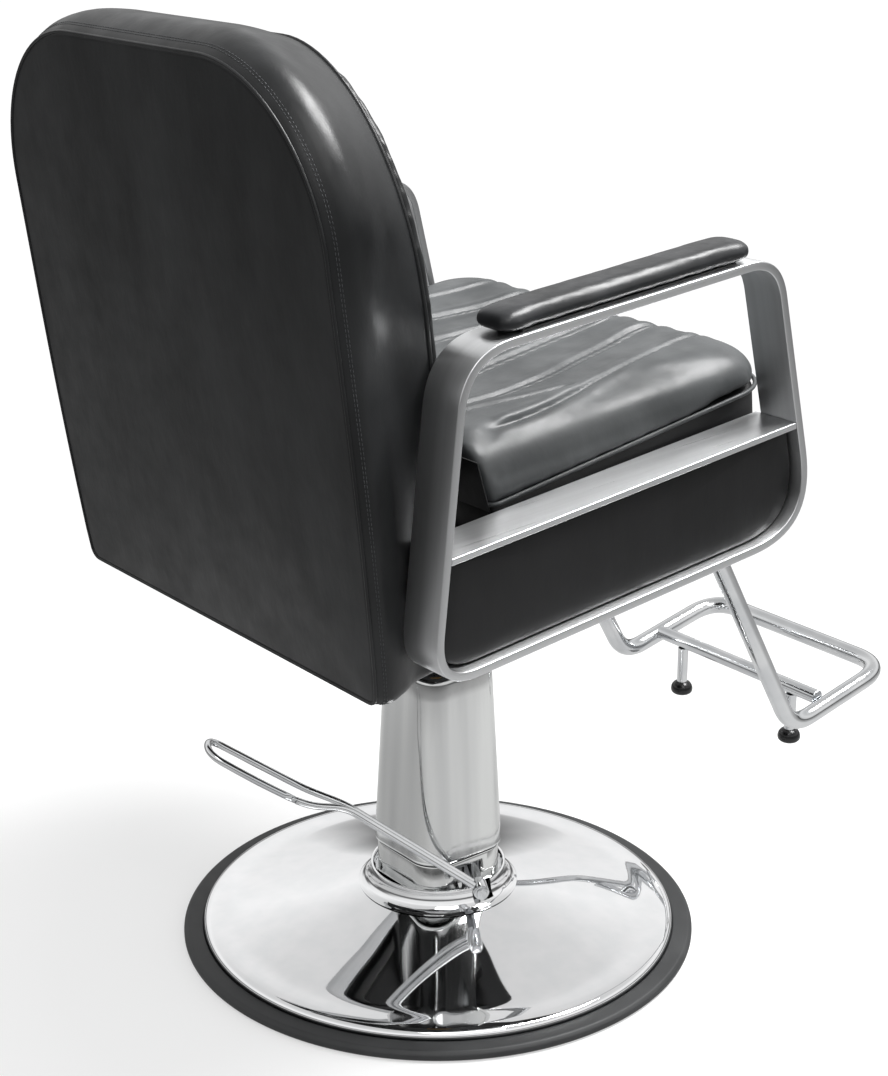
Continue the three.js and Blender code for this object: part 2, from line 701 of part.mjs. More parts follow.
/** Arched outline of the back at a depth behind (0) or in front of (negative) its rear plane. */
function backSection(halfWidth, foot, top, [cornerWidth, cornerHeight], depth) {
  const footHalf = halfWidth - FOOT_NARROWING;
  const flankHeight = foot + 0.35 * (top - foot);
  const corner = (side, i) => {
    const angle = (i / CORNER_STEPS) * (Math.PI / 2);
    return [
      side * (halfWidth - cornerWidth + cornerWidth * Math.cos(angle)),
      top - cornerHeight + cornerHeight * Math.sin(angle),
    ];
  };
  const steps = Array.from({ length: CORNER_STEPS + 1 }, (_, i) => i);
  const points = [
    [-footHalf, foot],
    [footHalf, foot],
    [halfWidth, flankHeight],
    ...steps.map((i) => corner(1, i)),
    ...steps.map((i) => corner(-1, CORNER_STEPS - i)),
    [-halfWidth, flankHeight],
  ];
  return points.map(([x, z]) => new THREE.Vector3(x, depth, z));
}

/** The front outline of the back, moved in by a distance. */
const frontSection = (distance, foot, depth) => backSection(
  FRONT_HALF - distance,
  foot,
  FRONT_TOP - distance,
  FRONT_CORNER.map((axis) => axis - distance),
  depth,
);
const SHELL_DEPTH = 106;
const SHELL_WALL = 16;
const shellOuter = loft([
  backSection(280, 4, 606, REAR_CORNER, 0),
  backSection(286, 0, 614, [172, 168], -14),
  backSection(280, 0, 621, [182, 178], -34),
  backSection(268, 0, 618, [180, 204], -58),
  frontSection(0, 0, -SHELL_DEPTH),
]);
const shellHollow = loft([
  frontSection(SHELL_WALL, SHELL_WALL, -SHELL_WALL),
  frontSection(SHELL_WALL, SHELL_WALL, -SHELL_DEPTH - 5),
]);
place(back, 'back_shell', cut(shellOuter, shellHollow), BACK_LEATHER);
const PANEL_HALF = 235;
place(back, 'back_panel', block(
  [-PANEL_HALF, SHELL_WALL + 1, 0],
  [PANEL_HALF, 104, 4],
).rotateX(Math.PI / 2).translate(0, -SHELL_DEPTH + 6, 0), PLYWOOD);
const BOARD_THICKNESS = 6;
const cushionRear = -SHELL_DEPTH - BOARD_THICKNESS - GAP;
place(back, 'back_board', loft([
  frontSection(14, 112, -SHELL_DEPTH - GAP),
  frontSection(14, 112, -SHELL_DEPTH - BOARD_THICKNESS),
]), PLYWOOD);
place(back, 'back_cushion', loft([
  frontSection(10, 108, cushionRear),
  frontSection(13, 108, cushionRear - 14),
  frontSection(30, 122, cushionRear - 31.7),
]), BACK_LEATHER);
const backBracket = block([75, -SHELL_DEPTH - 6, 18], [115, -SHELL_DEPTH - GAP, 98]);
placePair(back, 'back_bracket', backBracket, BLACK_PAINT);

// ---------------------------------------------------------------- arms

const armCorners = [[-256, -3], [266, -3], [198, 312], [-211, 308]].map(([y, z]) => new THREE.Vector2(y, z));
const armSetbacks = [94, 58, 58, 46];
const innerCorners = inset(armCorners, ARM_BAR);
const innerSetbacks = armSetbacks.map((setback) => setback - ARM_BAR * 0.9);
const armShape = filletedLoop(THREE.Shape, armCorners, armSetbacks);
armShape.holes.push(filletedLoop(THREE.Path, innerCorners, innerSetbacks));
placePair(seat, 'arm_frame', extrudeAcross(armShape, ARM_INNER, ARM_OUTER), BRUSHED_STEEL);

/** Where a side of the arm loop's inner outline stands at a height. */
function innerEdge(low, high, height) {
  return THREE.MathUtils.mapLinear(height, low.y, high.y, low.x, high.x);
}
const [frontFoot, rearFoot, rearHead, frontHead] = innerCorners;
const SHELF_BOTTOM = SHELF_TOP - SHELF_THICKNESS;
const shelfShape = new THREE.Shape([
  new THREE.Vector2(innerEdge(frontFoot, frontHead, SHELF_BOTTOM) + 2 * GAP, SHELF_BOTTOM),
  new THREE.Vector2(innerEdge(rearFoot, rearHead, SHELF_BOTTOM) - 2 * GAP, SHELF_BOTTOM),
  new THREE.Vector2(innerEdge(rearFoot, rearHead, SHELF_TOP) - 2 * GAP, SHELF_TOP),
  new THREE.Vector2(innerEdge(frontFoot, frontHead, SHELF_TOP) + 2 * GAP, SHELF_TOP),
]);
placePair(seat, 'arm_shelf', extrudeAcross(shelfShape, ARM_INNER - 6, ARM_OUTER), BRUSHED_STEEL);

const panelCorners = [
  frontFoot,
  rearFoot,
  new THREE.Vector2(innerEdge(rearFoot, rearHead, SHELF_BOTTOM), SHELF_BOTTOM),
  new THREE.Vector2(innerEdge(frontFoot, frontHead, SHELF_BOTTOM), SHELF_BOTTOM),
];
const panelShape = filletedLoop(THREE.Shape, inset(panelCorners, 1.2), [82, 48, 3, 3]);
placePair(seat, 'side_panel', extrudeAcross(panelShape, ARM_INNER + 1, ARM_OUTER - 10), BACK_LEATHER);

const PAD_FRONT = -174;
const PAD_REAR = 150;
const ARM_TOP_SLOPE = (312 - 308) / (198 + 211);

/** Height of the arm frame's top edge at a station. */
const armTop = (y) => 308 + ARM_TOP_SLOPE * (y + 211);
const padMiddle = (ARM_INNER + ARM_OUTER) / 2;

/** Extrusion of a strip that follows the arm's top edge. */
function padStrip(front, rear, halfWidth, bottom, top) {
  const shape = new THREE.Shape([
    new THREE.Vector2(front, armTop(front) + bottom),
    new THREE.Vector2(rear, armTop(rear) + bottom),
    new THREE.Vector2(rear, armTop(rear) + top),
    new THREE.Vector2(front, armTop(front) + top),
  ]);
  return extrudeAcross(shape, padMiddle - halfWidth, padMiddle + halfWidth);
}
placePair(seat, 'arm_pad_base', padStrip(PAD_FRONT + 22, PAD_REAR - 26, 20, GAP, 3), BLACK_PAINT);

/** Section of the arm pad across the arm at a station. */
function padSection(y, halfWidth, bottom, top) {
  const halfHeight = (top - bottom) / 2;
  return roundedRectangle(halfWidth, halfHeight, Math.min(8, halfHeight * 0.8), 3)
    .map(([x, z]) => new THREE.Vector3(padMiddle + x, y, armTop(y) + (bottom + top) / 2 + z));
}
placePair(seat, 'arm_pad', loft([
  padSection(PAD_FRONT, 18, 6, 18),
  padSection(PAD_FRONT + 7, 26, 3.5, 21),
  padSection(PAD_REAR - 6, 26, 3.5, 22),
  padSection(PAD_REAR, 23, 6, 20),
]), PAD_LEATHER);

// ---------------------------------------------------------------- footrest

const FOOTREST_TOP_Y = -238;
const runHeight = (y) => SEAT_DATUM - y * Math.tan(SEAT_TILT);
const FOOTREST_REAR_Y = -90;
const FRONT_BAR = { y: -608, z: 214 };
const BEND = { y: -436, z: 178 };
const sideCorner = (side, y, z) => new THREE.Vector3(side * FOOTREST_HALF_WIDTH, y, z);
const footrestCorners = [
  sideCorner(1, FOOTREST_REAR_Y, runHeight(FOOTREST_REAR_Y)),
  sideCorner(1, FOOTREST_TOP_Y, runHeight(FOOTREST_TOP_Y)),
  sideCorner(1, BEND.y, BEND.z),
  sideCorner(1, FRONT_BAR.y, FRONT_BAR.z),
  sideCorner(-1, FRONT_BAR.y, FRONT_BAR.z),
  sideCorner(-1, BEND.y, BEND.z),
  sideCorner(-1, FOOTREST_TOP_Y, runHeight(FOOTREST_TOP_Y)),
  sideCorner(-1, FOOTREST_REAR_Y, runHeight(FOOTREST_REAR_Y)),
];
place(
  chair,
  'footrest_frame',
  sweep(filletedPath(footrestCorners, [0, 42, 34, 44, 44, 34, 42, 0]), TUBE_RADIUS, 84, 8),
  CHROME,
);

const CROSS_Y = -495;
const crossZ = THREE.MathUtils.mapLinear(CROSS_Y, BEND.y, FRONT_BAR.y, BEND.z, FRONT_BAR.z) + 8;
const CROSS_RADIUS = 9;
const crossEnd = FOOTREST_HALF_WIDTH - TUBE_RADIUS - GAP;
place(chair, 'footrest_crossbar', crossRod(CROSS_RADIUS, -crossEnd, crossEnd, CROSS_Y, crossZ), CHROME);

const POST_X = 96.5;
const FOOT_PAD_BOTTOM = 124;
const FOOT_PAD_TOP = 141;
placePair(
  chair,
  'footrest_post',
  rod(7, FOOT_PAD_TOP + GAP, crossZ - CROSS_RADIUS - GAP, 20).translate(POST_X, CROSS_Y, 0),
  CHROME,
);
placePair(chair, 'footrest_foot', turned([
  [0, FOOT_PAD_BOTTOM],
  [11, FOOT_PAD_BOTTOM],
  [14, FOOT_PAD_BOTTOM + 3],
  [14.5, FOOT_PAD_BOTTOM + 9],
  [11, FOOT_PAD_TOP - 2],
  [8, FOOT_PAD_TOP],
  [0, FOOT_PAD_TOP],
], 24).translate(POST_X, CROSS_Y, 0), RUBBER);

const CLAMP_Y = -150;
const clampGroove = crossRod(TUBE_RADIUS + GAP, -40, 40, 0, 0)
  .rotateZ(Math.PI / 2)
  .translate(FOOTREST_HALF_WIDTH, CLAMP_Y, 0);
const clampBody = cut(
  block([FOOTREST_HALF_WIDTH - 24, CLAMP_Y - 16, -16], [FOOTREST_HALF_WIDTH + 24, CLAMP_Y + 16, 13]),
  clampGroove,
  block(
    [FOOTREST_HALF_WIDTH - TUBE_RADIUS - GAP, CLAMP_Y - 40, 0],
    [FOOTREST_HALF_WIDTH + TUBE_RADIUS + GAP, CLAMP_Y + 40, 30],
  ),
);
placePair(seat, 'footrest_clamp', clampBody, BLACK_PAINT);

export default chair;
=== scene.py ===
"""Looks of a hydraulic barber chair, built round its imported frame.

Each sub-assembly is a class that holds its own sizes in millimetres and makes its pieces in metres, in the
frame's own axes: +Z up, the sitter faces -Y, the origin on the floor under the centre of the base.
"""

import json
import logging
import math
from collections.abc import Callable, Sequence
from dataclasses import dataclass
from enum import Enum

import bpy
import numpy as np
from mathutils import Matrix, Vector
from mathutils.bvhtree import BVHTree

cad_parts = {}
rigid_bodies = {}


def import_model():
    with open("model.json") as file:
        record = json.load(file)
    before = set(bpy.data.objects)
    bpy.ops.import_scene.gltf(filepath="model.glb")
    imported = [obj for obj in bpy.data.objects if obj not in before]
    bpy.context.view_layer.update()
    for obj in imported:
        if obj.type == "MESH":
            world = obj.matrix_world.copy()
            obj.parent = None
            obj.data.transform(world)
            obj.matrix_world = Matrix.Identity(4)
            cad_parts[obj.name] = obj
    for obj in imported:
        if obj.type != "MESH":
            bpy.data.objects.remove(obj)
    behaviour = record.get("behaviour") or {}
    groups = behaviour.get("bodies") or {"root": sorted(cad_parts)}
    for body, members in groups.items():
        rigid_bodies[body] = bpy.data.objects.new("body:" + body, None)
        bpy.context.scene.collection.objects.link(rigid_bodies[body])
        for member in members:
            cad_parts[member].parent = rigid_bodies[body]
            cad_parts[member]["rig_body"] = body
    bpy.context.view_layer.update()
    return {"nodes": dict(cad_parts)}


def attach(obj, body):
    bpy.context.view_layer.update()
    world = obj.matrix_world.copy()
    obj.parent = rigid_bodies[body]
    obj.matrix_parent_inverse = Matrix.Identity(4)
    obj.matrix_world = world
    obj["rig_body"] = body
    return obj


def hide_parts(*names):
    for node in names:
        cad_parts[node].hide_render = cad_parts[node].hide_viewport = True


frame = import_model()

MM = 0.001
PATH_UV = "along"
BOX_FACES = ((0, 1, 3, 2), (4, 6, 7, 5), (0, 4, 5, 1), (2, 3, 7, 6), (0, 2, 6, 4), (1, 5, 7, 3))
CLOTH_STEPS = 20
SMOOTHEST = 0.02
log = logging.getLogger("barber_chair")
Points = np.ndarray
Socket = bpy.types.NodeSocket

# ---------------------------------------------------------------- colours and nodes


def linear(code: str) -> tuple[float, float, float, float]:
    """Turns an sRGB hex colour into linear RGBA.

    Args:
        code: Six hex digits.

    Returns:
        Linear red, green, blue and an alpha of 1.
    """
    levels = [int(code[i : i + 2], 16) / 255 for i in (0, 2, 4)]
    rgb = [v / 12.92 if v <= 0.04045 else ((v + 0.055) / 1.055) ** 2.4 for v in levels]
    return (rgb[0], rgb[1], rgb[2], 1.0)


def add(
    tree: bpy.types.NodeTree, kind: str, inputs: dict | None = None, **settings: object
) -> bpy.types.Node:
    """Adds a node with its settings, values and links.

    Args:
        tree: The node tree that gets it.
        kind: The node's Blender type name.
        inputs: Value or source socket for each input, by name or index.
        **settings: Properties of the node itself.

    Returns:
        The new node.
    """
    node = tree.nodes.new(kind)
    for name, value in settings.items():
        setattr(node, name, value)
    for key, value in (inputs or {}).items():
        if isinstance(value, bpy.types.NodeSocket):
            tree.links.new(value, node.inputs[key])
        else:
            node.inputs[key].default_value = value
    return node


# ---------------------------------------------------------------- finishes


@dataclass(frozen=True)
class Finish:
    """A finish with the constants that every real material has; subclasses add its pattern."""

    name: str
    slot: str
    colour: str
    shade: str
    roughness: float

    metallic = 0.0
    constants = {}

    def material(self) -> bpy.types.Material:
        """Makes the Blender material on first use.

        Returns:
            The material.
        """
        known = bpy.data.materials.get(self.name)
        if known:
            return known
        made = bpy.data.materials.new(self.name)
        made.use_nodes = True
        tree = made.node_tree
        shader = tree.nodes["Principled BSDF"]
        shader.inputs["Metallic"].default_value = self.metallic
        shader.inputs["Roughness"].default_value = self.roughness
        for name, value in self.constants.items():
            shader.inputs[name].default_value = value
        self.pattern(tree, shader)
        return made

    def pattern(self, tree: bpy.types.NodeTree, shader: bpy.types.Node) -> None:
        """Adds the finish's pattern. Subclasses say how."""
        raise NotImplementedError

    def gloss(self, tree: bpy.types.NodeTree, shader: bpy.types.Node, marks: Socket, spread: float) -> None:
        """Varies the roughness about its middle by a noise.

        Args:
            tree: The material's tree.
            shader: Its shader.
            marks: The noise that it follows.
            spread: How far it strays either way.
        """
        low, high = max(self.roughness - spread, SMOOTHEST), min(self.roughness + spread, 1.0)
        tree.links.new(remap(tree, marks, (0.3, 0.7), (low, high)), shader.inputs["Roughness"])

    def tint(self, tree: bpy.types.NodeTree, shader: bpy.types.Node, factor: Socket) -> None:
        """Mixes the shade into the colour by a factor.

        Args:
            tree: The material's tree.
            shader: Its shader.
            factor: 0 for the colour, 1 for the shade.
        """
        inputs = {0: factor, 6: linear(self.colour), 7: linear(self.shade)}
        mixed = add(tree, "ShaderNodeMix", inputs, data_type="RGBA")
        tree.links.new(mixed.outputs[2], shader.inputs["Base Color"])

    def relief(self, tree: bpy.types.NodeTree, shader: bpy.types.Node, layers: Sequence[tuple]) -> None:
        """Stacks bump layers.

        Args:
            tree: The material's tree.
            shader: Its shader.
            layers: Height socket, strength and depth in millimetres of each layer.
        """
        normal = None
        for height, strength, depth in layers:
            inputs = {"Strength": strength, "Distance": depth * MM, "Height": height}
            if normal:
                inputs["Normal"] = normal
            normal = add(tree, "ShaderNodeBump", inputs).outputs["Normal"]
        tree.links.new(normal, shader.inputs["Normal"])


def place(tree: bpy.types.NodeTree, stretch: tuple = (1, 1, 1), lean: float = 0.0) -> Socket:
    """Object coordinates in a frame that leans back, stretched along its axes.

    Args:
        tree: The material's tree.
        stretch: How many times longer the pattern is along each axis.
        lean: How far the frame leans back, in degrees.

    Returns:
        The coordinates.
    """
    coordinates = add(tree, "ShaderNodeTexCoord").outputs["Object"]
    turn = (-math.radians(lean), 0, 0)
    inputs = {"Vector": coordinates, "Rotation": turn, "Scale": stretch}
    return add(tree, "ShaderNodeMapping", inputs, vector_type="TEXTURE").outputs["Vector"]


def noise(tree: bpy.types.NodeTree, vector: Socket, size: float, detail: float) -> Socket:
    """Noise whose patches are about size millimetres across."""
    inputs = {"Vector": vector, "Scale": 1 / (size * MM), "Detail": detail}
    return add(tree, "ShaderNodeTexNoise", inputs).outputs[0]


def remap(tree: bpy.types.NodeTree, value: Socket, span: tuple, out: tuple) -> Socket:
    """Maps a span of values onto another, clamped."""
    inputs = {0: value, 1: span[0], 2: span[1], 3: out[0], 4: out[1]}
    return add(tree, "ShaderNodeMapRange", inputs).outputs[0]


@dataclass(frozen=True)
class Leather(Finish):
    """Pigmented upholstery leather: a fine pebble, soft clouds of shade and shallow stretch creases."""

    grain: float = 2.2
    cloud: float = 70.0
    crease: float = 26.0
    spread: float = 0.07
    lean: float = 7.4

    constants = {"IOR": 1.5, "Specular IOR Level": 0.36}

    def pattern(self, tree: bpy.types.NodeTree, shader: bpy.types.Node) -> None:
        """Clouds the colour and the gloss, and raises the pebble and the creases.

        Args:
            tree: The material's tree.
            shader: Its shader.
        """
        hanging = place(tree, (1, 1, 2.2), self.lean)
        clouds = noise(tree, hanging, self.cloud, 5.0)
        self.tint(tree, shader, remap(tree, clouds, (0.35, 0.68), (0, 1)))
        patches = noise(tree, place(tree), self.cloud * 0.4, 6.0)
        self.gloss(tree, shader, patches, self.spread)
        # Real pebble is about 0.6 mm; it is drawn coarser so that it shows.
        inputs = {"Vector": place(tree), "Scale": 1 / (self.grain * MM)}
        pebble = add(tree, "ShaderNodeTexVoronoi", inputs, feature="SMOOTH_F1").outputs["Distance"]
        creases = noise(tree, hanging, self.crease, 3.0)
        self.relief(tree, shader, [(creases, 0.35, 1.6), (pebble, 0.12, 0.25)])


class Lay(Enum):
    """Which way the marks of polishing or brushing run, as stretches of the pattern's axes."""

    EVEN = (1.0, 1.0, 1.0)
    UPRIGHT = (1.0, 1.0, 60.0)
    ACROSS = (60.0, 1.0, 1.0)


@dataclass(frozen=True)
class Metal(Finish):
    """Worked bare metal or plating, with marks of a stated spacing that follow its lay."""

    lay: Lay = Lay.EVEN
    marks: float = 2.0
    spread: float = 0.03
    depth: float = 0.0
    waves: float = 0.0

    metallic = 1.0

    def pattern(self, tree: bpy.types.NodeTree, shader: bpy.types.Node) -> None:
        """Varies colour and gloss along the marks, and waves the plate a little where it is pressed.

        Args:
            tree: The material's tree.
            shader: Its shader.
        """
        along = place(tree, self.lay.value)
        lines = noise(tree, along, self.marks, 4.0)
        broad = noise(tree, along, self.marks * 9, 2.0)
        self.tint(tree, shader, remap(tree, broad, (0.35, 0.65), (0, 1)))
        self.gloss(tree, shader, lines, self.spread)
        layers = [(noise(tree, place(tree), 60, 0.0), 1.0, self.waves)] if self.waves else []
        if self.depth:
            layers.append((lines, 0.25, self.depth))
        if layers:
            self.relief(tree, shader, layers)


@dataclass(frozen=True)
class PathMetal(Metal):
    """Steel brushed lengthwise; marks and sheen follow the piece's own UV map, in metres."""

    constants = {"Anisotropic": 0.6, "Anisotropic Rotation": 0.25}

    def pattern(self, tree: bpy.types.NodeTree, shader: bpy.types.Node) -> None:
        """Runs long marks along the first UV axis.

        Args:
            tree: The material's tree.
            shader: Its shader.
        """
        along = add(tree, "ShaderNodeUVMap", uv_map=PATH_UV).outputs["UV"]
        inputs = {"Vector": along, "Scale": (160.0, 1.0, 1.0)}
        stretched = add(tree, "ShaderNodeMapping", inputs, vector_type="TEXTURE").outputs["Vector"]
        lines = noise(tree, stretched, self.marks, 5.0)
        bands = noise(tree, stretched, self.marks * 7, 2.0)
        self.tint(tree, shader, remap(tree, bands, (0.35, 0.65), (0, 1)))
        self.gloss(tree, shader, lines, self.spread)
        heading = add(tree, "ShaderNodeTangent", direction_type="UV_MAP", uv_map=PATH_UV)
        tree.links.new(heading.outputs[0], shader.inputs["Tangent"])


@dataclass(frozen=True)
class Moulded(Finish):
    """Rubber, plastic, paint or casting: an even body with a fine skin and faint patches."""

    grit: float = 1.5
    depth: float = 0.08
    spread: float = 0.08

    constants = {"IOR": 1.5}

    def pattern(self, tree: bpy.types.NodeTree, shader: bpy.types.Node) -> None:
        """Dusts the colour and gloss, and roughens the skin.

        Args:
            tree: The material's tree.
            shader: Its shader.
        """
        patches = noise(tree, place(tree), self.grit * 18, 5.0)
        self.tint(tree, shader, remap(tree, patches, (0.35, 0.7), (0, 1)))
        self.gloss(tree, shader, patches, self.spread)
        self.relief(tree, shader, [(noise(tree, place(tree), self.grit, 3.0), 0.4, self.depth)])


@dataclass(frozen=True)
class Plywood(Finish):
    """Plywood: long grain across the board, in its finish's two colours."""

    def pattern(self, tree: bpy.types.NodeTree, shader: bpy.types.Node) -> None:
        """Draws the grain in colour and a shallow relief.

        Args:
            tree: The material's tree.
            shader: Its shader.
        """
        grain = noise(tree, place(tree, (16, 1, 1)), 4.0, 6.0)
        self.tint(tree, shader, remap(tree, grain, (0.35, 0.65), (0, 1)))
        self.relief(tree, shader, [(grain, 0.2, 0.05)])


# Charcoal leather pulled tight over foam: satin, with broad soft highlights.
BACK_LEATHER = Leather("charcoal_leather_tight", "back_leather", "111213", "232425", 0.37)
# The same hide on the seat, a little drier, in a lighter colour: painted light for the light that falls on
# its top.
SEAT_LEATHER_LIT = Leather(
    "charcoal_leather_seat_painted_lit", "seat_leather", "3a3c3d", "4e5051", 0.42, crease=22.0, lean=5.8
)
# Close-grained leather over firm pads: a crisp line of light along the top edge. Its colour, a little lighter
# than the back's, is painted light on the pads' tops.
PAD_LEATHER_LIT = Leather(
    "charcoal_leather_pad_painted_lit", "pad_leather", "1a1b1c", "28292b", 0.36, cloud=40.0, crease=18.0
)
# The same hide in a nearly black, even copy, on the side panels and the seat's lower band, tray and rear
# flap: painted shade where these parts lie in shadow.
SHADED_LEATHER = Leather("charcoal_leather_painted_shade", "back_leather", "0d0d0e", "161617", 0.44, cloud=90.0)
# Bonded thread: a little lighter than the hide, with a dull sheen.
THREAD = Moulded("bonded_thread", "back_leather", "424446", "333537", 0.55, grit=0.6, depth=0.03)
# Bright nickel-chrome on pressed steel: a mirror with the slight waves of the pressing.
CHROME_PRESSED = Metal(
    "chrome_plated_pressing", "chrome", "f3f3f4", "eeeff0", 0.03, marks=3.0, spread=0.008, waves=0.3
)
# Chrome on bar and tube: a mirror, dulled a little by polishing marks.
CHROME_TUBE = Metal("chrome_plated_tube", "chrome", "dcddde", "c9cbcd", 0.14, marks=6.0, spread=0.04)
# Satin-polished stainless cover: soft upright streaks in a blurred mirror.
COLUMN_STEEL = Metal(
    "satin_stainless_sheet", "column_steel", "dedfde", "c4c5c5", 0.12, Lay.UPRIGHT,
    marks=5.0, spread=0.05, waves=0.12,
)
# Belt-brushed flat bar: long fine lines, with light drawn out across them round the bends.
BRUSHED_BAR = PathMetal("belt_brushed_bar", "brushed_steel", "d8d9da", "cbcccd", 0.34, marks=2.0, spread=0.03)
# Brushed shelf plate, lines lengthwise and a little brighter.
BRUSHED_PLATE = PathMetal(
    "belt_brushed_plate", "brushed_steel", "e2e3e4", "d8d9da", 0.3, marks=2.0, spread=0.03
)
# Turned steel: fine rings, seen as a soft grey gloss.
MACHINED = Metal(
    "turned_steel", "machined_steel", "9fa1a3", "8b8d8f", 0.32, Lay.ACROSS, marks=0.8, spread=0.06
)
# Cast bronze bearing stock.
BRONZE = Metal("cast_bronze", "bronze", "b08d4f", "94743d", 0.36, marks=1.5, spread=0.08, depth=0.02)
# Grey cast iron: dark and grainy.
CAST_IRON = Moulded("grey_cast_iron", "cast_iron", "3a3b3d", "2b2c2d", 0.7, grit=1.4, depth=0.25)
# Black powder coat on steel bar: a fine orange peel.
BLACK_PAINT = Moulded("black_powder_coat", "black_paint", "111213", "1a1b1c", 0.42, grit=1.2, depth=0.06)
# Injection-moulded black plastic: even, with a fine matt skin.
BLACK_PLASTIC = Moulded(
    "moulded_black_plastic", "black_plastic", "101011", "181819", 0.5, grit=0.8, depth=0.04
)
# Moulded base rubber: dusty grey on top.
RING_RUBBER = Moulded("moulded_base_rubber", "black_rubber", "232425", "2e2f30", 0.55, grit=1.6, depth=0.05)
# Moulded rubber of the feet: black and glossy.
FOOT_RUBBER = Moulded("moulded_foot_rubber", "black_rubber", "0b0b0c", "121213", 0.25, grit=1.2, depth=0.02)
# Plywood drawn nearly black: painted shade, so that a board's edge reads dark in the gaps where it shows.
BOARD = Plywood("plywood_painted_shade", "plywood", "0d0c0b", "151312", 0.85)

# ---------------------------------------------------------------- mesh helpers


def new_object(
    name: str, vertices: Points, faces: Sequence, finish: Finish, smooth: bool = True
) -> bpy.types.Object:
    """Makes a mesh object from places in metres.

    Args:
        name: The piece's name.
        vertices: N by 3 places.
        faces: Vertex indices of each face.
        finish: The finish that it gets.
        smooth: Whether its faces are shaded smooth.

    Returns:
        The object, at the origin, with its faces outwards.
    """
    mesh = bpy.data.meshes.new(name)
    mesh.from_pydata([tuple(v) for v in vertices], [], [tuple(f) for f in faces])
    mesh.validate()
    mesh.materials.append(finish.material())
    mesh.polygons.foreach_set("use_smooth", [smooth] * len(mesh.polygons))
    piece = bpy.data.objects.new(name, mesh)
    bpy.context.scene.collection.objects.link(piece)
    outwards(piece)
    return piece


def outwards(piece: bpy.types.Object) -> None:
    """Turns every face of a closed mesh outwards.

    Args:
        piece: The piece, whose faces already agree with each other.
    """
    mesh = piece.data
    corners = np.array([v.co for v in mesh.vertices], float)
    volume = 0.0
    for face in mesh.polygons:
        fan = [corners[i] for i in face.vertices]
        for i in range(1, len(fan) - 1):
            volume += float(np.dot(fan[0], np.cross(fan[i], fan[i + 1])))
    if volume < 0:
        mesh.flip_normals()


def strip_faces(rows: int, columns: int, wrap_rows: bool, first: int = 0) -> list[tuple[int, ...]]:
    """Quads between rows of points whose columns close on themselves.

    Args:
        rows: Number of rows.
        columns: Points in each row.
        wrap_rows: Whether the last row joins the first.
        first: Index of the first point.

    Returns:
        The faces.
    """
    faces = []
    for r in range(rows if wrap_rows else rows - 1):
        a, b = first + r * columns, first + ((r + 1) % rows) * columns
        for c in range(columns):
            d = (c + 1) % columns
            faces.append((a + c, a + d, b + d, b + c))
    return faces


def loft(name: str, rings: Sequence[Points], finish: Finish) -> bpy.types.Object:
    """Closed solid through rings of points, with a pole at each end.

    Args:
        name: The piece's name.
        rings: Rings of as many points each, in metres.
        finish: The finish that it gets.

    Returns:
        The piece.
    """
    count = len(rings[0])
    body = np.concatenate(rings)
    poles = np.array([rings[0].mean(0), rings[-1].mean(0)])
    faces = strip_faces(len(rings), count, False)
    last = (len(rings) - 1) * count
    start, end = len(body), len(body) + 1
    for c in range(count):
        d = (c + 1) % count
        faces.append((start, d, c))
        faces.append((end, last + c, last + d))
    return new_object(name, np.concatenate([body, poles]), faces, finish)


def rounded(profile: Sequence[tuple], radius: float, steps: int = 5) -> list[tuple[float, float]]:
    """A closed profile with its corners rounded, each by no more than a third of its shorter side.

    Args:
        profile: Its corners, in order.
        radius: How far from a corner the rounding starts, at most.
        steps: Points on each rounding.

    Returns:
        The rounded profile.
    """
    points = [np.array(p, float) for p in profile]
    out = []
    for i, corner in enumerate(points):
        before, after = points[i - 1], points[(i + 1) % len(points)]
        reach = min(radius, np.linalg.norm(before - corner) / 3, np.linalg.norm(after - corner) / 3)
        a = corner + (before - corner) / np.linalg.norm(before - corner) * reach
        b = corner + (after - corner) / np.linalg.norm(after - corner) * reach
        for t in np.linspace(0, 1, steps):
            out.append(tuple((1 - t) ** 2 * a + 2 * t * (1 - t) * corner + t * t * b))
    return out


def lathe(name: str, profile: Sequence[tuple], finish: Finish, segments: int = 192) -> bpy.types.Object:
    """A ring about +Z from a closed profile.

    Args:
        name: The piece's name.
        profile: Radius and height of its corners, in millimetres.
        finish: The finish that it gets.
        segments: Steps round the axis.

    Returns:
        The piece.
    """
    angles = np.linspace(0, 2 * math.pi, segments, endpoint=False)
    rows = []
    for angle in angles:
        rows.append([(r * math.cos(angle), r * math.sin(angle), z) for r, z in profile])
    vertices = np.array(rows).reshape(-1, 3) * MM
    return new_object(name, vertices, strip_faces(segments, len(profile), True), finish)


def rounded_square(half_x: float, half_y: float, radius: float | tuple, steps: int = 12) -> Points:
    """Outline of a rounded rectangle about the origin, in millimetres.

    Args:
        half_x: Half its width.
        half_y: Half its depth.
        radius: Radius of its corners, or of its +Y corners and then its -Y ones.
        steps: Steps in each corner.

    Returns:
        Its points, from the +X side round by +Y.
    """
    radii = radius if isinstance(radius, tuple) else (radius, radius)
    points = []
    for corner, (sx, sy) in enumerate([(1, 1), (-1, 1), (-1, -1), (1, -1)]):
        r = radii[0] if sy > 0 else radii[1]
        for i in range(steps + 1):
            angle = (corner + i / steps) * math.pi / 2
            points.append((sx * (half_x - r) + r * math.cos(angle), sy * (half_y - r) + r * math.sin(angle)))
    return np.array(points)


def smooth_step(t: Points | float) -> Points | float:
    """Eases from 0 to 1."""
    t = np.clip(t, 0, 1)
    return t * t * (3 - 2 * t)


def evaluated(piece: bpy.types.Object) -> bpy.types.Mesh:
    """The piece's mesh with its modifiers applied."""
    bpy.context.view_layer.update()
    return bpy.data.meshes.new_from_object(piece.evaluated_get(bpy.context.evaluated_depsgraph_get()))


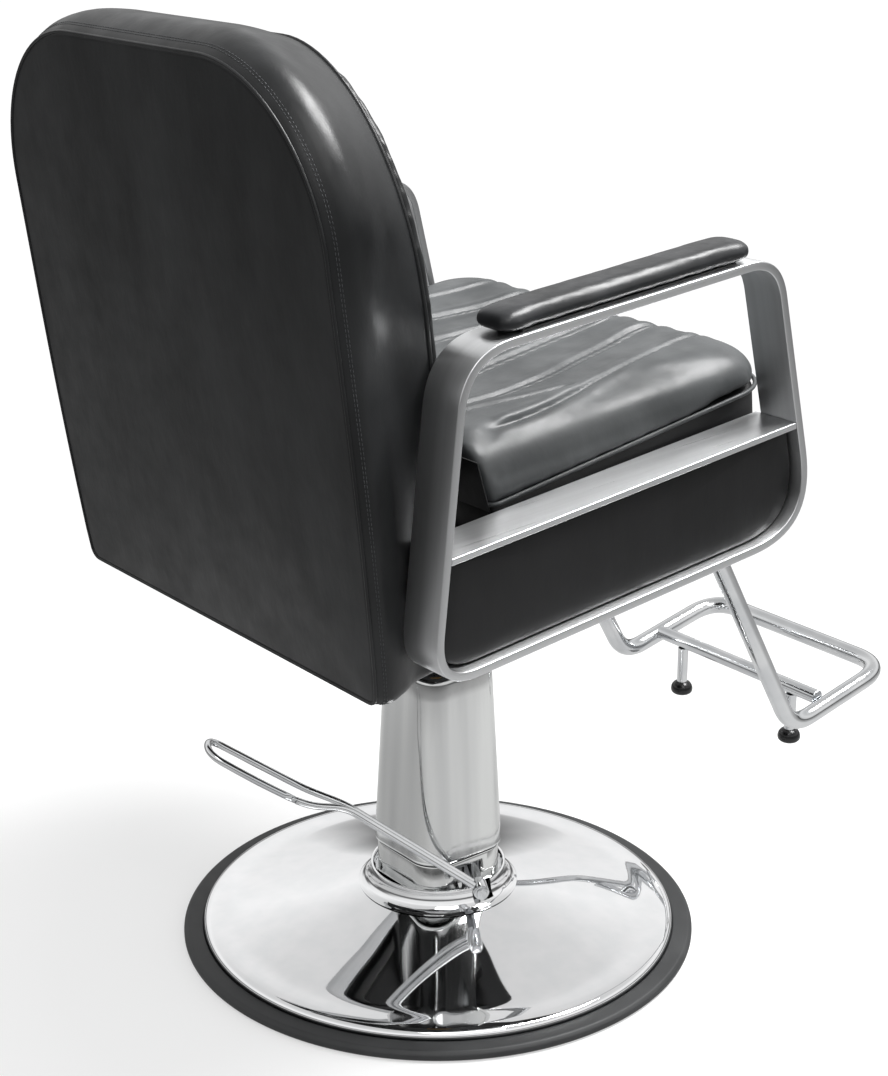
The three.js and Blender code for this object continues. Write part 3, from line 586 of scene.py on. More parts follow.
def apply_modifiers(piece: bpy.types.Object) -> bpy.types.Object:
    """Puts the evaluated mesh in place of the piece's own and takes its modifiers off.

    Args:
        piece: The piece.

    Returns:
        The same piece.
    """
    mesh = evaluated(piece)
    piece.modifiers.clear()
    piece.data = mesh
    return piece


def cut_out(piece: bpy.types.Object, low: Sequence[float], high: Sequence[float]) -> bpy.types.Object:
    """Cuts a box out of a piece.

    Args:
        piece: The piece, which keeps its name and finish.
        low: The box's lowest corner, in millimetres.
        high: Its highest corner.

    Returns:
        The same piece.
    """
    corners = [(x, y, z) for x in (low[0], high[0]) for y in (low[1], high[1]) for z in (low[2], high[2])]
    tool = new_object("cutter", np.array(corners) * MM, BOX_FACES, BLACK_PAINT, smooth=False)
    knife = piece.modifiers.new("cut", "BOOLEAN")
    knife.object = tool
    knife.operation = "DIFFERENCE"
    knife.solver = "EXACT"
    apply_modifiers(piece)
    bpy.data.objects.remove(tool)
    return piece


def ease_edges(piece: bpy.types.Object, width: float, angle: float = 35.0) -> bpy.types.Object:
    """Rounds a piece's sharp edges and keeps its flats flat.

    Args:
        piece: The piece.
        width: Width of the rounding, in millimetres.
        angle: The least turn between two faces that makes an edge sharp, in degrees.

    Returns:
        The same piece.
    """
    bevel = piece.modifiers.new("eased", "BEVEL")
    bevel.width = width * MM
    bevel.segments = 2
    bevel.limit_method = "ANGLE"
    bevel.angle_limit = math.radians(angle)
    bevel.harden_normals = True
    apply_modifiers(piece)
    return piece


def settle(piece: bpy.types.Object, body: str, finish: Finish, *nodes: str) -> bpy.types.Object:
    """Hangs a finished piece on its body and hides the nodes it stands for.

    Args:
        piece: The piece.
        body: The body that it moves with.
        finish: The piece's finish; not used.
        *nodes: The CAD nodes that it replaces.

    Returns:
        The same piece.
    """
    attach(piece, body)
    if nodes:
        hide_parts(*nodes)
    log.info("%s: %d faces on %s", piece.name, len(piece.data.polygons), body)
    return piece


def refined(node: str, finish: Finish, edge: float = 0.6) -> bpy.types.Object:
    """A merged copy of a CAD node with smooth rounds and eased edges, which stands for it.

    Args:
        node: The CAD node.
        finish: The copy's finish.
        edge: Width of its eased edges in millimetres.

    Returns:
        The new piece, on the node's body.
    """
    source = frame["nodes"][node]
    piece = bpy.data.objects.new(f"{node}_finished", source.data.copy())
    bpy.context.scene.collection.objects.link(piece)
    piece.data.materials.clear()
    piece.data.materials.append(finish.material())
    weld = piece.modifiers.new("weld", "WELD")
    weld.merge_threshold = 0.02 * MM
    flatten = piece.modifiers.new("flatten", "DECIMATE")
    flatten.decimate_type = "DISSOLVE"
    flatten.angle_limit = math.radians(0.5)
    apply_modifiers(piece)
    piece.data.polygons.foreach_set("use_smooth", [True] * len(piece.data.polygons))
    ease_edges(piece, edge)
    piece.data.set_sharp_from_angle(angle=math.radians(32))
    return settle(piece, source["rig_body"], finish, node)


# ---------------------------------------------------------------- tilted frames


@dataclass(frozen=True)
class Tilted:
    """A frame tilted backwards about X: across, depth (+ towards the rear) and height, in millimetres."""

    origin: tuple[float, float, float]
    tilt: float

    def world(self, local: Points) -> Points:
        """Turns local points into places.

        Args:
            local: Points in this frame.

        Returns:
            Their places in metres.
        """
        a = math.radians(self.tilt)
        x, y, z = np.asarray(local, float).reshape(-1, 3).T
        turned = np.stack([x, y * math.cos(a) + z * math.sin(a), z * math.cos(a) - y * math.sin(a)], axis=1)
        return (turned + np.array(self.origin)) * MM

    def local(self, places: Points) -> Points:
        """Turns places into local points.

        Args:
            places: Places in metres.

        Returns:
            The points in this frame.
        """
        a = math.radians(self.tilt)
        x, y, z = (places / MM - np.array(self.origin)).T
        return np.stack([x, y * math.cos(a) - z * math.sin(a), z * math.cos(a) + y * math.sin(a)], axis=1)

    def place(self, across: float, depth: float, height: float) -> Points:
        """Place in metres of one local point."""
        return self.world(np.array([[across, depth, height]], float))[0]

    def heading(self, across: float, depth: float, height: float) -> Points:
        """Unit vector of a local direction."""
        arrow = self.place(across, depth, height) - self.place(0, 0, 0)
        return arrow / np.linalg.norm(arrow)


SEAT_FRAME = Tilted((0, 0, 503), 5.8)
BACK_FRAME = Tilted((0, 284, 444), 7.4)

# ---------------------------------------------------------------- Geometry Nodes


def filleted(corners: Points, setbacks: Sequence[float], closed: bool = False, steps: int = 12) -> Points:
    """A path through corners, each rounded by a quadratic fillet.

    Args:
        corners: The corners.
        setbacks: How far from each corner its fillet starts.
        closed: Whether the path closes on itself; if not, its two ends stay sharp.
        steps: Points on each fillet.

    Returns:
        The path.
    """
    path = []
    count = len(corners)
    for i, corner in enumerate(corners):
        if not closed and i in (0, count - 1):
            path.append(corner)
            continue
        ends = []
        for other in (corners[i - 1], corners[(i + 1) % count]):
            ends.append(corner + (other - corner) / np.linalg.norm(other - corner) * setbacks[i])
        for t in np.linspace(0, 1, steps):
            path.append((1 - t) ** 2 * ends[0] + 2 * t * (1 - t) * corner + t * t * ends[1])
    return np.array(path)


def densified(outline: Points, longest: float) -> Points:
    """A closed outline with no step much longer than a distance.

    Args:
        outline: Its points.
        longest: About the longest step that is left whole.

    Returns:
        The denser outline.
    """
    dense = []
    for a, b in zip(outline, np.roll(outline, -1, axis=0)):
        pieces = max(1, int(np.linalg.norm(b - a) / longest))
        dense += [a + (b - a) * i / pieces for i in range(pieces)]
    return np.array(dense)


@dataclass
class PathTool:
    """A Geometry Nodes tree that makes something along a curve, with its sizes as named inputs."""

    name: str
    sizes: dict[str, float]
    build: Callable[[bpy.types.NodeTree, bpy.types.Node], Socket]

    def tree(self) -> bpy.types.NodeTree:
        """Makes the tree on first use; it ends in Realize Instances and Set Material.

        Returns:
            The tree.
        """
        known = bpy.data.node_groups.get(self.name)
        if known:
            return known
        tree = bpy.data.node_groups.new(self.name, "GeometryNodeTree")
        tree.interface.new_socket("Geometry", in_out="INPUT", socket_type="NodeSocketGeometry")
        for label, value in self.sizes.items():
            socket = tree.interface.new_socket(label, in_out="INPUT", socket_type="NodeSocketFloat")
            socket.default_value = value
        tree.interface.new_socket("Finish", in_out="INPUT", socket_type="NodeSocketMaterial")
        tree.interface.new_socket("Geometry", in_out="OUTPUT", socket_type="NodeSocketGeometry")
        given = add(tree, "NodeGroupInput")
        made = self.build(tree, given)
        real = add(tree, "GeometryNodeRealizeInstances", {"Geometry": made})
        smooth = add(tree, "GeometryNodeSetShadeSmooth", {"Geometry": real.outputs[0]})
        inputs = {"Geometry": smooth.outputs[0], "Material": given.outputs["Finish"]}
        dressed = add(tree, "GeometryNodeSetMaterial", inputs)
        add(tree, "NodeGroupOutput", {0: dressed.outputs[0]})
        return tree

    def along(
        self, name: str, path: Points, finish: Finish, closed: bool = False, **sizes: float
    ) -> bpy.types.Object:
        """Makes a mesh piece along a path.

        Args:
            name: The piece's name.
            path: N by 3 places in metres.
            finish: Its finish.
            closed: Whether the path closes on itself.
            **sizes: The tree's inputs in metres, by name.

        Returns:
            The piece, a plain mesh at the origin.
        """
        curve = bpy.data.curves.new(name + "_path", "CURVE")
        curve.dimensions = "3D"
        spline = curve.splines.new("POLY")
        spline.points.add(len(path) - 1)
        spline.points.foreach_set("co", np.hstack([path, np.ones((len(path), 1))]).ravel())
        spline.use_cyclic_u = closed
        guide = bpy.data.objects.new(name + "_path", curve)
        bpy.context.scene.collection.objects.link(guide)
        modifier = guide.modifiers.new(self.name, "NODES")
        modifier.node_group = self.tree()
        wanted = {**sizes, "Finish": finish.material()}
        for item in modifier.node_group.interface.items_tree:
            if item.item_type == "SOCKET" and item.in_out == "INPUT" and item.name in wanted:
                modifier[item.identifier] = wanted[item.name]
        mesh = evaluated(guide)
        mesh.name = name
        bpy.data.objects.remove(guide)
        piece = bpy.data.objects.new(name, mesh)
        bpy.context.scene.collection.objects.link(piece)
        return piece


def round_bar(tree: bpy.types.NodeTree, given: bpy.types.Node) -> Socket:
    """A round section swept along the curve, with closed ends.

    Args:
        tree: The Geometry Nodes tree.
        given: Its group input.

    Returns:
        The bar's geometry.
    """
    inputs = {"Resolution": 20, "Radius": given.outputs["Radius"]}
    section = add(tree, "GeometryNodeCurvePrimitiveCircle", inputs, mode="RADIUS")
    curves = {"Curve": given.outputs["Geometry"], "Profile Curve": section.outputs["Curve"]}
    inputs = {**curves, "Fill Caps": True}
    return add(tree, "GeometryNodeCurveToMesh", inputs).outputs[0]


def stitch_row(tree: bpy.types.NodeTree, given: bpy.types.Node) -> Socket:
    """Short lengths of thread at even spacing along the curve.

    Args:
        tree: The Geometry Nodes tree.
        given: Its group input.

    Returns:
        The stitches, as instances.
    """
    inputs = {"Curve": given.outputs["Geometry"], "Length": given.outputs["Pitch"]}
    spots = add(tree, "GeometryNodeCurveToPoints", inputs, mode="LENGTH")
    inputs = {"Vector": spots.outputs["Tangent"]}
    heading = add(tree, "FunctionNodeAlignRotationToVector", inputs, axis="Z")
    bead = add(tree, "GeometryNodeMeshUVSphere", {"Segments": 8, "Rings": 5, "Radius": 1.0})
    inputs = {"X": given.outputs["Radius"], "Y": given.outputs["Radius"], "Z": given.outputs["Half length"]}
    shape = add(tree, "ShaderNodeCombineXYZ", inputs)
    inputs = {
        "Points": spots.outputs["Points"],
        "Instance": bead.outputs["Mesh"],
        "Rotation": heading.outputs["Rotation"],
        "Scale": shape.outputs["Vector"],
    }
    return add(tree, "GeometryNodeInstanceOnPoints", inputs).outputs[0]


BAR = PathTool("round_bar", {"Radius": 4 * MM}, round_bar)
STITCHES = PathTool("stitch_row", {"Pitch": 5 * MM, "Half length": 1.8 * MM, "Radius": 0.5 * MM}, stitch_row)

# ---------------------------------------------------------------- soft goods


def stuffed(
    piece: bpy.types.Object, voxel: float, cap: float, pinned_below: tuple[Points, Points] | None = None
) -> None:
    """Puffs a closed form as a foam-filled cover by cloth simulation, and applies it.

    Args:
        piece: The slightly undersized closed form, in place.
        voxel: Remesh size in millimetres.
        cap: The most that a point may move, in millimetres.
        pinned_below: A plane (point, normal) in metres; what lies under it stays where it is.
    """
    remesh = piece.modifiers.new("remesh", "REMESH")
    remesh.mode = "VOXEL"
    remesh.voxel_size = voxel * MM
    remesh.use_smooth_shade = True
    calm = piece.modifiers.new("calm", "SMOOTH")
    calm.factor = 0.5
    calm.iterations = 4
    apply_modifiers(piece)
    rest = np.array([v.co for v in piece.data.vertices])
    if pinned_below is not None:
        point, normal = pinned_below
        group = piece.vertex_groups.new(name="held")
        held = [int(i) for i in np.nonzero((rest - point) @ normal < 0)[0]]
        group.add(held, 1.0, "REPLACE")
    cloth = piece.modifiers.new("puff", "CLOTH")
    cloth.settings.use_pressure = True
    cloth.settings.uniform_pressure_force = 4
    cloth.settings.effector_weights.gravity = 0
    cloth.settings.quality = 4
    if pinned_below is not None:
        cloth.settings.vertex_group_mass = "held"
    cloth.point_cache.frame_start = 1
    cloth.point_cache.frame_end = CLOTH_STEPS
    scene = bpy.context.scene
    for step in range(1, CLOTH_STEPS + 1):
        scene.frame_set(step)
    puffed = evaluated(piece)
    moved = np.array([v.co for v in puffed.vertices]) - rest
    reach = np.linalg.norm(moved, axis=1, keepdims=True)
    scale = np.minimum(1, cap * MM / np.maximum(reach, 1e-9))
    piece.modifiers.clear()
    piece.vertex_groups.clear()
    bpy.data.meshes.remove(puffed)
    piece.data.vertices.foreach_set("co", (rest + moved * scale).ravel())
    scene.frame_set(1)
    settled = piece.modifiers.new("settled", "SMOOTH")
    settled.factor = 0.5
    settled.iterations = 5
    apply_modifiers(piece)


def press(piece: bpy.types.Object, depth_at: Callable[[Points], Points]) -> None:
    """Moves a piece's points inwards along their normals.

    Args:
        piece: The piece.
        depth_at: Gives the depth in millimetres at places in metres.
    """
    mesh = piece.data
    places = np.array([v.co for v in mesh.vertices])
    normals = np.array([v.normal for v in mesh.vertices])
    depth = depth_at(places)
    mesh.vertices.foreach_set("co", (places - normals * depth[:, None] * MM).ravel())
    mesh.update()


def subdivided(piece: bpy.types.Object) -> None:
    """Adds one applied level of subdivision.

    Args:
        piece: The piece.
    """
    surface = piece.modifiers.new("surface", "SUBSURF")
    surface.levels = surface.render_levels = 1
    apply_modifiers(piece)


@dataclass(frozen=True)
class Channel:
    """A sewn channel, mirrored on the other half: stations of (place along it, distance from the middle)."""

    stations: tuple[tuple[float, float], ...]
    depth: float = 5.0
    pair: float = 0.0
    width: float = 3.2

    def across(self, along: Points) -> Points:
        """Distance from the middle along the channel, with its corners smoothed out.

        Args:
            along: Places along it.

        Returns:
            The distance at each.
        """
        places, offsets = np.array(sorted(self.stations)).T
        spread = (-18, -9, 0, 9, 18)
        return np.mean([np.interp(along + step, places, offsets) for step in spread], axis=0)

    def relief(self, side: Points, along: Points) -> Points:
        """Depth pressed in at points: a valley or a pair, with soft rolls beside it.

        Args:
            side: Each point's distance from the middle.
            along: Its place along the channel.

        Returns:
            The depth at each, in millimetres.
        """
        first, last = min(self.stations)[0], max(self.stations)[0]
        fade = smooth_step((along - first) / 30) * smooth_step((last - along) / 30)
        away = side - self.across(along)
        valleys = np.zeros(len(away))
        for centre in (-self.pair / 2, self.pair / 2) if self.pair else (0,):
            valleys += np.exp(-(((away - centre) / self.width) ** 2))
        rolls = np.exp(-(((np.abs(away) - self.pair / 2 - 3.2 * self.width) / (2.2 * self.width)) ** 2))
        return self.depth * fade * (valleys - 0.3 * rolls)


# ---------------------------------------------------------------- base and column

# The window that the pump's crank comes out of, through the cup and the column's foot.
CRANK_SLOT_LOW = (-110, -16, 61)
CRANK_SLOT_HIGH = (-40, 12, 102)


@dataclass
class Base:
    """The weighted round base: rubber ring, chromed cover and cup."""

    ring_radius: float = 300
    ring_height: float = 12
    cover_radius: float = 277
    break_radius: float = 251
    break_height: float = 23
    cone_radius: float = 84
    cone_height: float = 57
    band_slope: float = 3
    outer_slope: float = 10.4
    inner_slope: float = 14.6
    sheet: float = 2.2
    ring_inner: float = 266.3
    foot_half: float = 59.7
    foot_corner: float = 32.2
    cup_inner: float = 75.3
    cup_flare: tuple[tuple[float, float], ...] = (
        (94, 55.6), (90, 57), (86, 59.6), (82.8, 63.5), (80.6, 68.5), (79.4, 74), (79, 80),
    )
    cup_inside: tuple[tuple[float, float], ...] = ((76.4, 80), (75.5, 76), (75.5, 58), (84, 57.4))
    liner_steps: tuple[tuple[float, float], ...] = (
        # share of the way from the foot to the cup's wall, height
        (0, 60), (0, 66.5), (0.25, 67), (0.55, 69), (0.85, 73), (1, 77), (1, 60),
    )

    def cover_profile(self) -> list[tuple[float, float]]:
        """The pressed cover's section.

        Returns:
            Radius and height round a rolled lip, a nearly flat band and a cone that steepens inwards.
        """
        radius = np.linspace(self.break_radius, self.cone_radius, 44)
        inwards = self.break_radius - radius
        slope = self.band_slope + (self.outer_slope - self.band_slope) * smooth_step(inwards / 20)
        slope += (self.inner_slope - self.outer_slope) * inwards / inwards[-1]
        steps = np.tan(np.radians((slope[1:] + slope[:-1]) / 2)) * -np.diff(radius)
        rise = np.concatenate([[0], np.cumsum(steps)])
        height = self.break_height + rise * (self.cone_height - self.break_height) / rise[-1]
        lip = [
            (self.cover_radius, self.ring_height + 0.3),
            (self.cover_radius - 0.4, self.ring_height + 4),
            (self.cover_radius - 1.8, self.ring_height + 7),
            (self.cover_radius - 4.6, self.ring_height + 9),
            (self.cover_radius - 9, self.ring_height + 9.9),
            (self.break_radius + 9, self.break_height - 0.45),
        ]
        top = lip + list(zip(radius, height))
        inside = [(r - self.sheet * 0.4, z - self.sheet) for r, z in reversed(top[3:])]
        foot = [(self.cover_radius - self.sheet, self.ring_height + 0.3)]
        return top + inside + foot

    def make(self) -> None:
        """Builds and dresses the base."""
        ring = rounded(
            [
                (self.ring_inner, 0),
                (self.ring_radius - 3, 0),
                (self.ring_radius, 3),
                (self.ring_radius, self.ring_height - 4),
                (self.ring_radius - 4, self.ring_height),
                (self.cover_radius + 1, self.ring_height),
                (self.cover_radius - 1, self.ring_height - 2),
                (self.ring_inner, self.ring_height - 2),
            ],
            2.5,
        )
        settle(lathe("base_ring_finished", ring, RING_RUBBER, 256), "base", RING_RUBBER, "rubber_ring")
        cover = lathe("base_cover_finished", self.cover_profile(), CHROME_PRESSED, 256)
        settle(cover, "base", CHROME_PRESSED, "base_cover")
        cup = rounded(self.cup_flare + self.cup_inside, 2.5)
        collar = lathe("column_cup_finished", cup, CHROME_PRESSED, 160)
        cut_out(collar, CRANK_SLOT_LOW, CRANK_SLOT_HIGH)
        collar.data.set_sharp_from_angle(angle=math.radians(40))
        settle(collar, "base", CHROME_PRESSED, "base_collar")
        liner = self.liner()
        cut_out(liner, (*CRANK_SLOT_LOW[:2], 55), CRANK_SLOT_HIGH)
        liner.data.set_sharp_from_angle(angle=math.radians(50))
        settle(liner, "base", CHROME_PRESSED)

    def liner(self) -> bpy.types.Object:
        """The turned-in floor of the cup, which runs from its wall down to the square foot.

        Returns:
            The liner.
        """
        foot = rounded_square(self.foot_half, self.foot_half, self.foot_corner, 24)
        angles = np.arctan2(foot[:, 1], foot[:, 0])
        wall = np.column_stack([np.cos(angles), np.sin(angles)]) * self.cup_inner
        rings = []
        for share, height in self.liner_steps:
            flat = foot + (wall - foot) * share
            rings.append(np.column_stack([flat, np.full(len(flat), height)]) * MM)
        faces = strip_faces(len(rings), len(foot), True)
        return new_object("column_cup_liner", np.concatenate(rings), faces, CHROME_PRESSED)


@dataclass
class Column:
    """The square column: a slotted foot and a tapered cover."""

    foot_width: float = 119
    bottom_width: float = 125
    top_width: float = 105
    bottom: float = 109
    top: float = 336
    corner: float = 34
    sheet: float = 2.2
    shoulder: float = 9
    taper: float = 3

    def section(self, width: float, radius: float, height: float) -> Points:
        """A rounded square at a height, in metres."""
        flat = rounded_square(width / 2, width / 2, radius, 14)
        return np.column_stack([flat, np.full(len(flat), height)]) * MM

    def tube(self, name: str, levels: Sequence[tuple[float, float, float]], inner: float) -> bpy.types.Object:
        """A wall through outer levels, closed by an inner wall.

        Args:
            name: The piece's name.
            levels: Width, corner radius and height of each level.
            inner: How much narrower the inner wall is.

        Returns:
            The piece.
        """
        rings = [self.section(*level) for level in levels]
        first, last = levels[0], levels[-1]
        rings.append(self.section(last[0] - inner, last[1] - inner / 2, last[2]))
        rings.append(self.section(first[0] - inner, first[1] - inner / 2, first[2]))
        vertices = np.concatenate(rings)
        return new_object(name, vertices, strip_faces(len(rings), len(rings[0]), True), COLUMN_STEEL)

    def make(self) -> None:
        """Builds and dresses the column."""
        foot_corner = self.corner - 2
        foot = self.tube(
            "column_foot_finished",
            [(self.foot_width, foot_corner, 58), (self.foot_width, foot_corner, 105),
             (self.foot_width - 1.4, foot_corner - 0.7, 106)],
            2 * self.sheet,
        )
        cut_out(foot, CRANK_SLOT_LOW, (*CRANK_SLOT_HIGH[:2], 98))
        foot.data.set_sharp_from_angle(angle=math.radians(40))
        settle(foot, "base", COLUMN_STEEL, "column_foot")
        shoulder_height = self.top - self.shoulder
        levels = [
            (self.bottom_width - 3, self.corner - 1.5, self.bottom),
            (self.bottom_width - 0.8, self.corner - 0.4, self.bottom + 1.4),
        ]
        for z in np.linspace(self.bottom + 4, shoulder_height, 12):
            share = (z - self.bottom) / (self.top - self.bottom)
            width = self.bottom_width + (self.top_width - self.bottom_width) * share
            levels.append((width, self.corner - self.taper * share, z))
        for angle in np.linspace(18, 90, 6):
            a = math.radians(angle)
            inset = self.shoulder * (1 - math.cos(a))
            radius = self.corner - self.taper - inset * 0.7
            levels.append((self.top_width - 2 * inset, radius, shoulder_height + self.shoulder * math.sin(a)))
        for width in (80, 66):
            levels.append((width, 26, self.top))
        cover = self.tube("column_cover_finished", levels, 5)
        settle(cover, "base", COLUMN_STEEL, "column_cover")
        refined("rod_bushing", BLACK_PLASTIC, 0.8)
        refined("piston_rod", CHROME_TUBE, 0.6)
        refined("swivel_bearing", BRONZE, 0.4)


@dataclass
class PumpLever:
    """The foot lever: one bar bent double into two legs and a long open loop."""

    heading: float = 30
    offset: float = 98
    setback: float = -33.7
    height: float = 92
    rod: float = 4
    grip_half: float = 21
    bow: float = 6
    hub_reach: tuple[float, float] = (8.24, 6.18)
    neck: tuple[float, float] = (118, 207)
    grip: tuple[float, float] = (161, 221)
    tip: tuple[float, float] = (266, 290)
    setbacks: tuple[float, ...] = (0, 16, 18, 20, 20, 40, 18, 16, 0)

    def point(self, along: float, ahead: float, height: float) -> Points:
        """A place in millimetres.

        Args:
            along: How far out along the crank's axis.
            ahead: How far ahead along the lever.
            height: Height over the floor.

        Returns:
            The place.
        """
        a = math.radians(self.heading)
        x = -math.cos(a) * along + math.sin(a) * ahead
        return np.array([x, math.sin(a) * along + math.cos(a) * ahead, height])

    def make(self) -> None:
        """Builds and dresses the lever."""
        leg = self.rod + 0.6
        half = self.grip_half
        start = (self.setback + self.hub_reach[0], self.height + self.hub_reach[1])
        middle = tuple(a + 0.45 * (b - a) for a, b in zip(self.grip, self.tip))
        stations = [
            (-leg, start), (-leg, self.neck), (-half, self.grip), (-half, self.tip), (half, self.tip),
            (half + self.bow, middle), (half, self.grip), (leg, self.neck), (leg, start),
        ]
        corners = np.array([self.point(self.offset + side, *station) for side, station in stations])
        path = filleted(corners, self.setbacks) * MM
        lever = BAR.along("pump_lever_finished", path, CHROME_TUBE, Radius=self.rod * MM)
        settle(lever, "pump_lever", CHROME_TUBE, "lever_rod")
        refined("lever_hub", CHROME_TUBE, 1.0)
        refined("lever_bolt", CHROME_TUBE, 0.5)
        refined("crank_shaft", MACHINED, 0.4)


# ---------------------------------------------------------------- seat


@dataclass
class Seat:
    """The seat: a boxed lower part, a welted cushion with sewn channels, and its dark base."""

    half: float = 262
    front: float = -277
    rear: float = 125
    corner: float = 54
    rear_corner: float = 10
    rear_roll: float = 0.2
    rear_lean: float = 0.2
    crest: float = 187
    welt_rear: float = 125
    welt_front: float = 145
    dish: float = 8
    fullness: float = 2.6
    cord: float = 2.4
    cord_inset: float = 5.5
    border_levels: tuple[tuple[float, float], ...] = (
        # inset, height
        (40, 66.5), (14, 66.5), (9, 70), (8, 84), (8, 100),
    )
    base_levels: tuple[tuple[float, float], ...] = (
        (44, 14), (27, 14), (24, 17), (20, 51), (22, 53.8), (44, 53.8),
    )
    channels: tuple[Channel, ...] = (
        Channel(
            ((92, 212), (50, 214), (10, 212), (-35, 205), (-100, 190), (-155, 178), (-210, 170), (-275, 170)),
            depth=4.5,
        ),
        Channel(
            ((105, 128), (45, 140), (15, 147), (-25, 142), (-60, 138), (-110, 122), (-155, 113), (-200, 103),
             (-240, 102), (-275, 112)),
            pair=11,
        ),
        Channel(((105, 84), (-25, 62), (-70, 55), (-110, 50), (-160, 42), (-200, 41), (-275, 46)), pair=11),
        Channel(((95, 150), (62, 160), (28, 172), (-20, 184), (-60, 192)), depth=3.5),
    )

    def welt_height(self, y: Points) -> Points:
        """Height of the welt line, which rises towards the front."""
        share = (y - self.front) / (self.rear - self.front)
        return self.welt_front + (self.welt_rear - self.welt_front) * share

    def outline(self, inset: float) -> Points:
        """Plan outline moved in.

        Args:
            inset: By how much.

        Returns:
            Across and depth of its points.
        """
        middle = (self.front + self.rear) / 2
        long_half = (self.rear - self.front) / 2
        radius = (max(self.rear_corner - inset, 4), max(self.corner - inset, 6))
        flat = rounded_square(self.half - inset, long_half - inset, radius, 10)
        return densified(flat, 40) + np.array([0, middle])

    def ring(self, plan: Points, inset: float, height: Points | float) -> Points:
        """The outer outline's points, moved in towards the middle line, at a height.

        Args:
            plan: The outer outline.
            inset: How far its sides move in.
            height: Height of the ring, or of each of its points.

        Returns:
            Places in metres.
        """
        middle = (self.front + self.rear) / 2
        long_half = (self.rear - self.front) / 2
        behind = np.where(plan[:, 1] > middle, self.rear_roll, 1.0)
        x = plan[:, 0] * (self.half - inset) / self.half
        y = middle + (plan[:, 1] - middle) * (long_half - inset * behind) / long_half
        share = np.maximum(plan[:, 1] - middle, 0) / long_half
        y = y + share * (height - self.welt_rear) * self.rear_lean
        return SEAT_FRAME.world(np.column_stack([x, y, np.broadcast_to(height, (len(x),))]))

    def groove(self, local: Points) -> Points:
        """Depth pressed in by the channels and by the dish between the side bolsters.

        Args:
            local: Points in the seat's frame.

        Returns:
            The depth at each, in millimetres.
        """
        side = np.abs(local[:, 0])
        depth = sum(channel.relief(side, local[:, 1]) for channel in self.channels)
        fade = smooth_step((local[:, 1] - self.front) / 120)
        return depth + self.dish * np.exp(-((side / 165) ** 6)) * fade

    def cushion(self) -> bpy.types.Object:
        """The crowned upper cushion.

        Returns:
            The cushion, puffed and with its channels.
        """
        plan = self.outline(0)
        welt = self.welt_height(plan[:, 1])
        start = self.crest - 3
        rings = [self.ring(plan, 30, welt - 1), self.ring(plan, 5, welt - 1)]
        for angle in np.linspace(0, 84, 13):
            a = math.radians(angle)
            rise = math.sin(a) ** (2 / self.fullness)
            inset = 4 + 62 * (1 - math.cos(a) ** (2 / self.fullness))
            rings.append(self.ring(plan, inset, welt + (start - welt) * rise))
        for inset in (90, 130, 190):
            rings.append(self.ring(plan, inset, start))
        piece = loft("seat_cushion_leather", rings, SEAT_LEATHER_LIT)
        stuffed(piece, 5.0, 4.5, (SEAT_FRAME.place(0, -80, 139), SEAT_FRAME.heading(0, 0, 1)))

        def depth(places: Points) -> Points:
            """Channels fade out down the sides and into the welt.

            Args:
                places: Places in metres.

            Returns:
                The depth at each, in millimetres.
            """
            local = SEAT_FRAME.local(places)
            above = local[:, 2] - self.welt_height(local[:, 1])
            return self.groove(local) * smooth_step((above - 3) / 22)

        subdivided(piece)
        press(piece, depth)
        return piece

    def flap(self) -> bpy.types.Object:
        """The plain flap down the back of the cushion, in the hide's nearly black copy that paints shade.

        Returns:
            The flap.
        """
        reach, low, high = self.half - 2, self.welt_rear - 4, self.crest - 12
        vertices = []
        for height in (low, high):
            for x in (-reach, reach):
                for gap in (5.2, 6.6):
                    depth = self.rear + (height - self.welt_rear) * self.rear_lean + gap
                    vertices.append((x, depth, height))
        places = SEAT_FRAME.world(np.array(vertices, float))
        piece = new_object("seat_rear_flap", places, BOX_FACES, SHADED_LEATHER)
        return ease_edges(piece, 0.5)

    def thread_paths(self, cushion: bpy.types.Object) -> list[Points]:
        """Paths along the bottoms of the channels.

        Args:
            cushion: The cushion that they are laid on.

        Returns:
            The paths, in metres.
        """
        mesh = cushion.data
        tree = BVHTree.FromPolygons([v.co for v in mesh.vertices], [p.vertices for p in mesh.polygons])
        paths = []
        down = SEAT_FRAME.place(0, 0, 0) - SEAT_FRAME.place(0, 0, 1)
        for channel in self.channels[:3]:
            for side in (-1, 1):
                y = np.linspace(max(channel.stations)[0] - 20, min(channel.stations)[0] + 25, 120)
                across = side * (channel.across(y) + channel.pair / 2)
                tops = np.column_stack([across, y, np.full(len(y), 260.0)])
                hits = [tree.ray_cast(Vector(p), Vector(down))[0] for p in SEAT_FRAME.world(tops)]
                paths.append(np.array([tuple(h) for h in hits if h is not None]))
        return paths

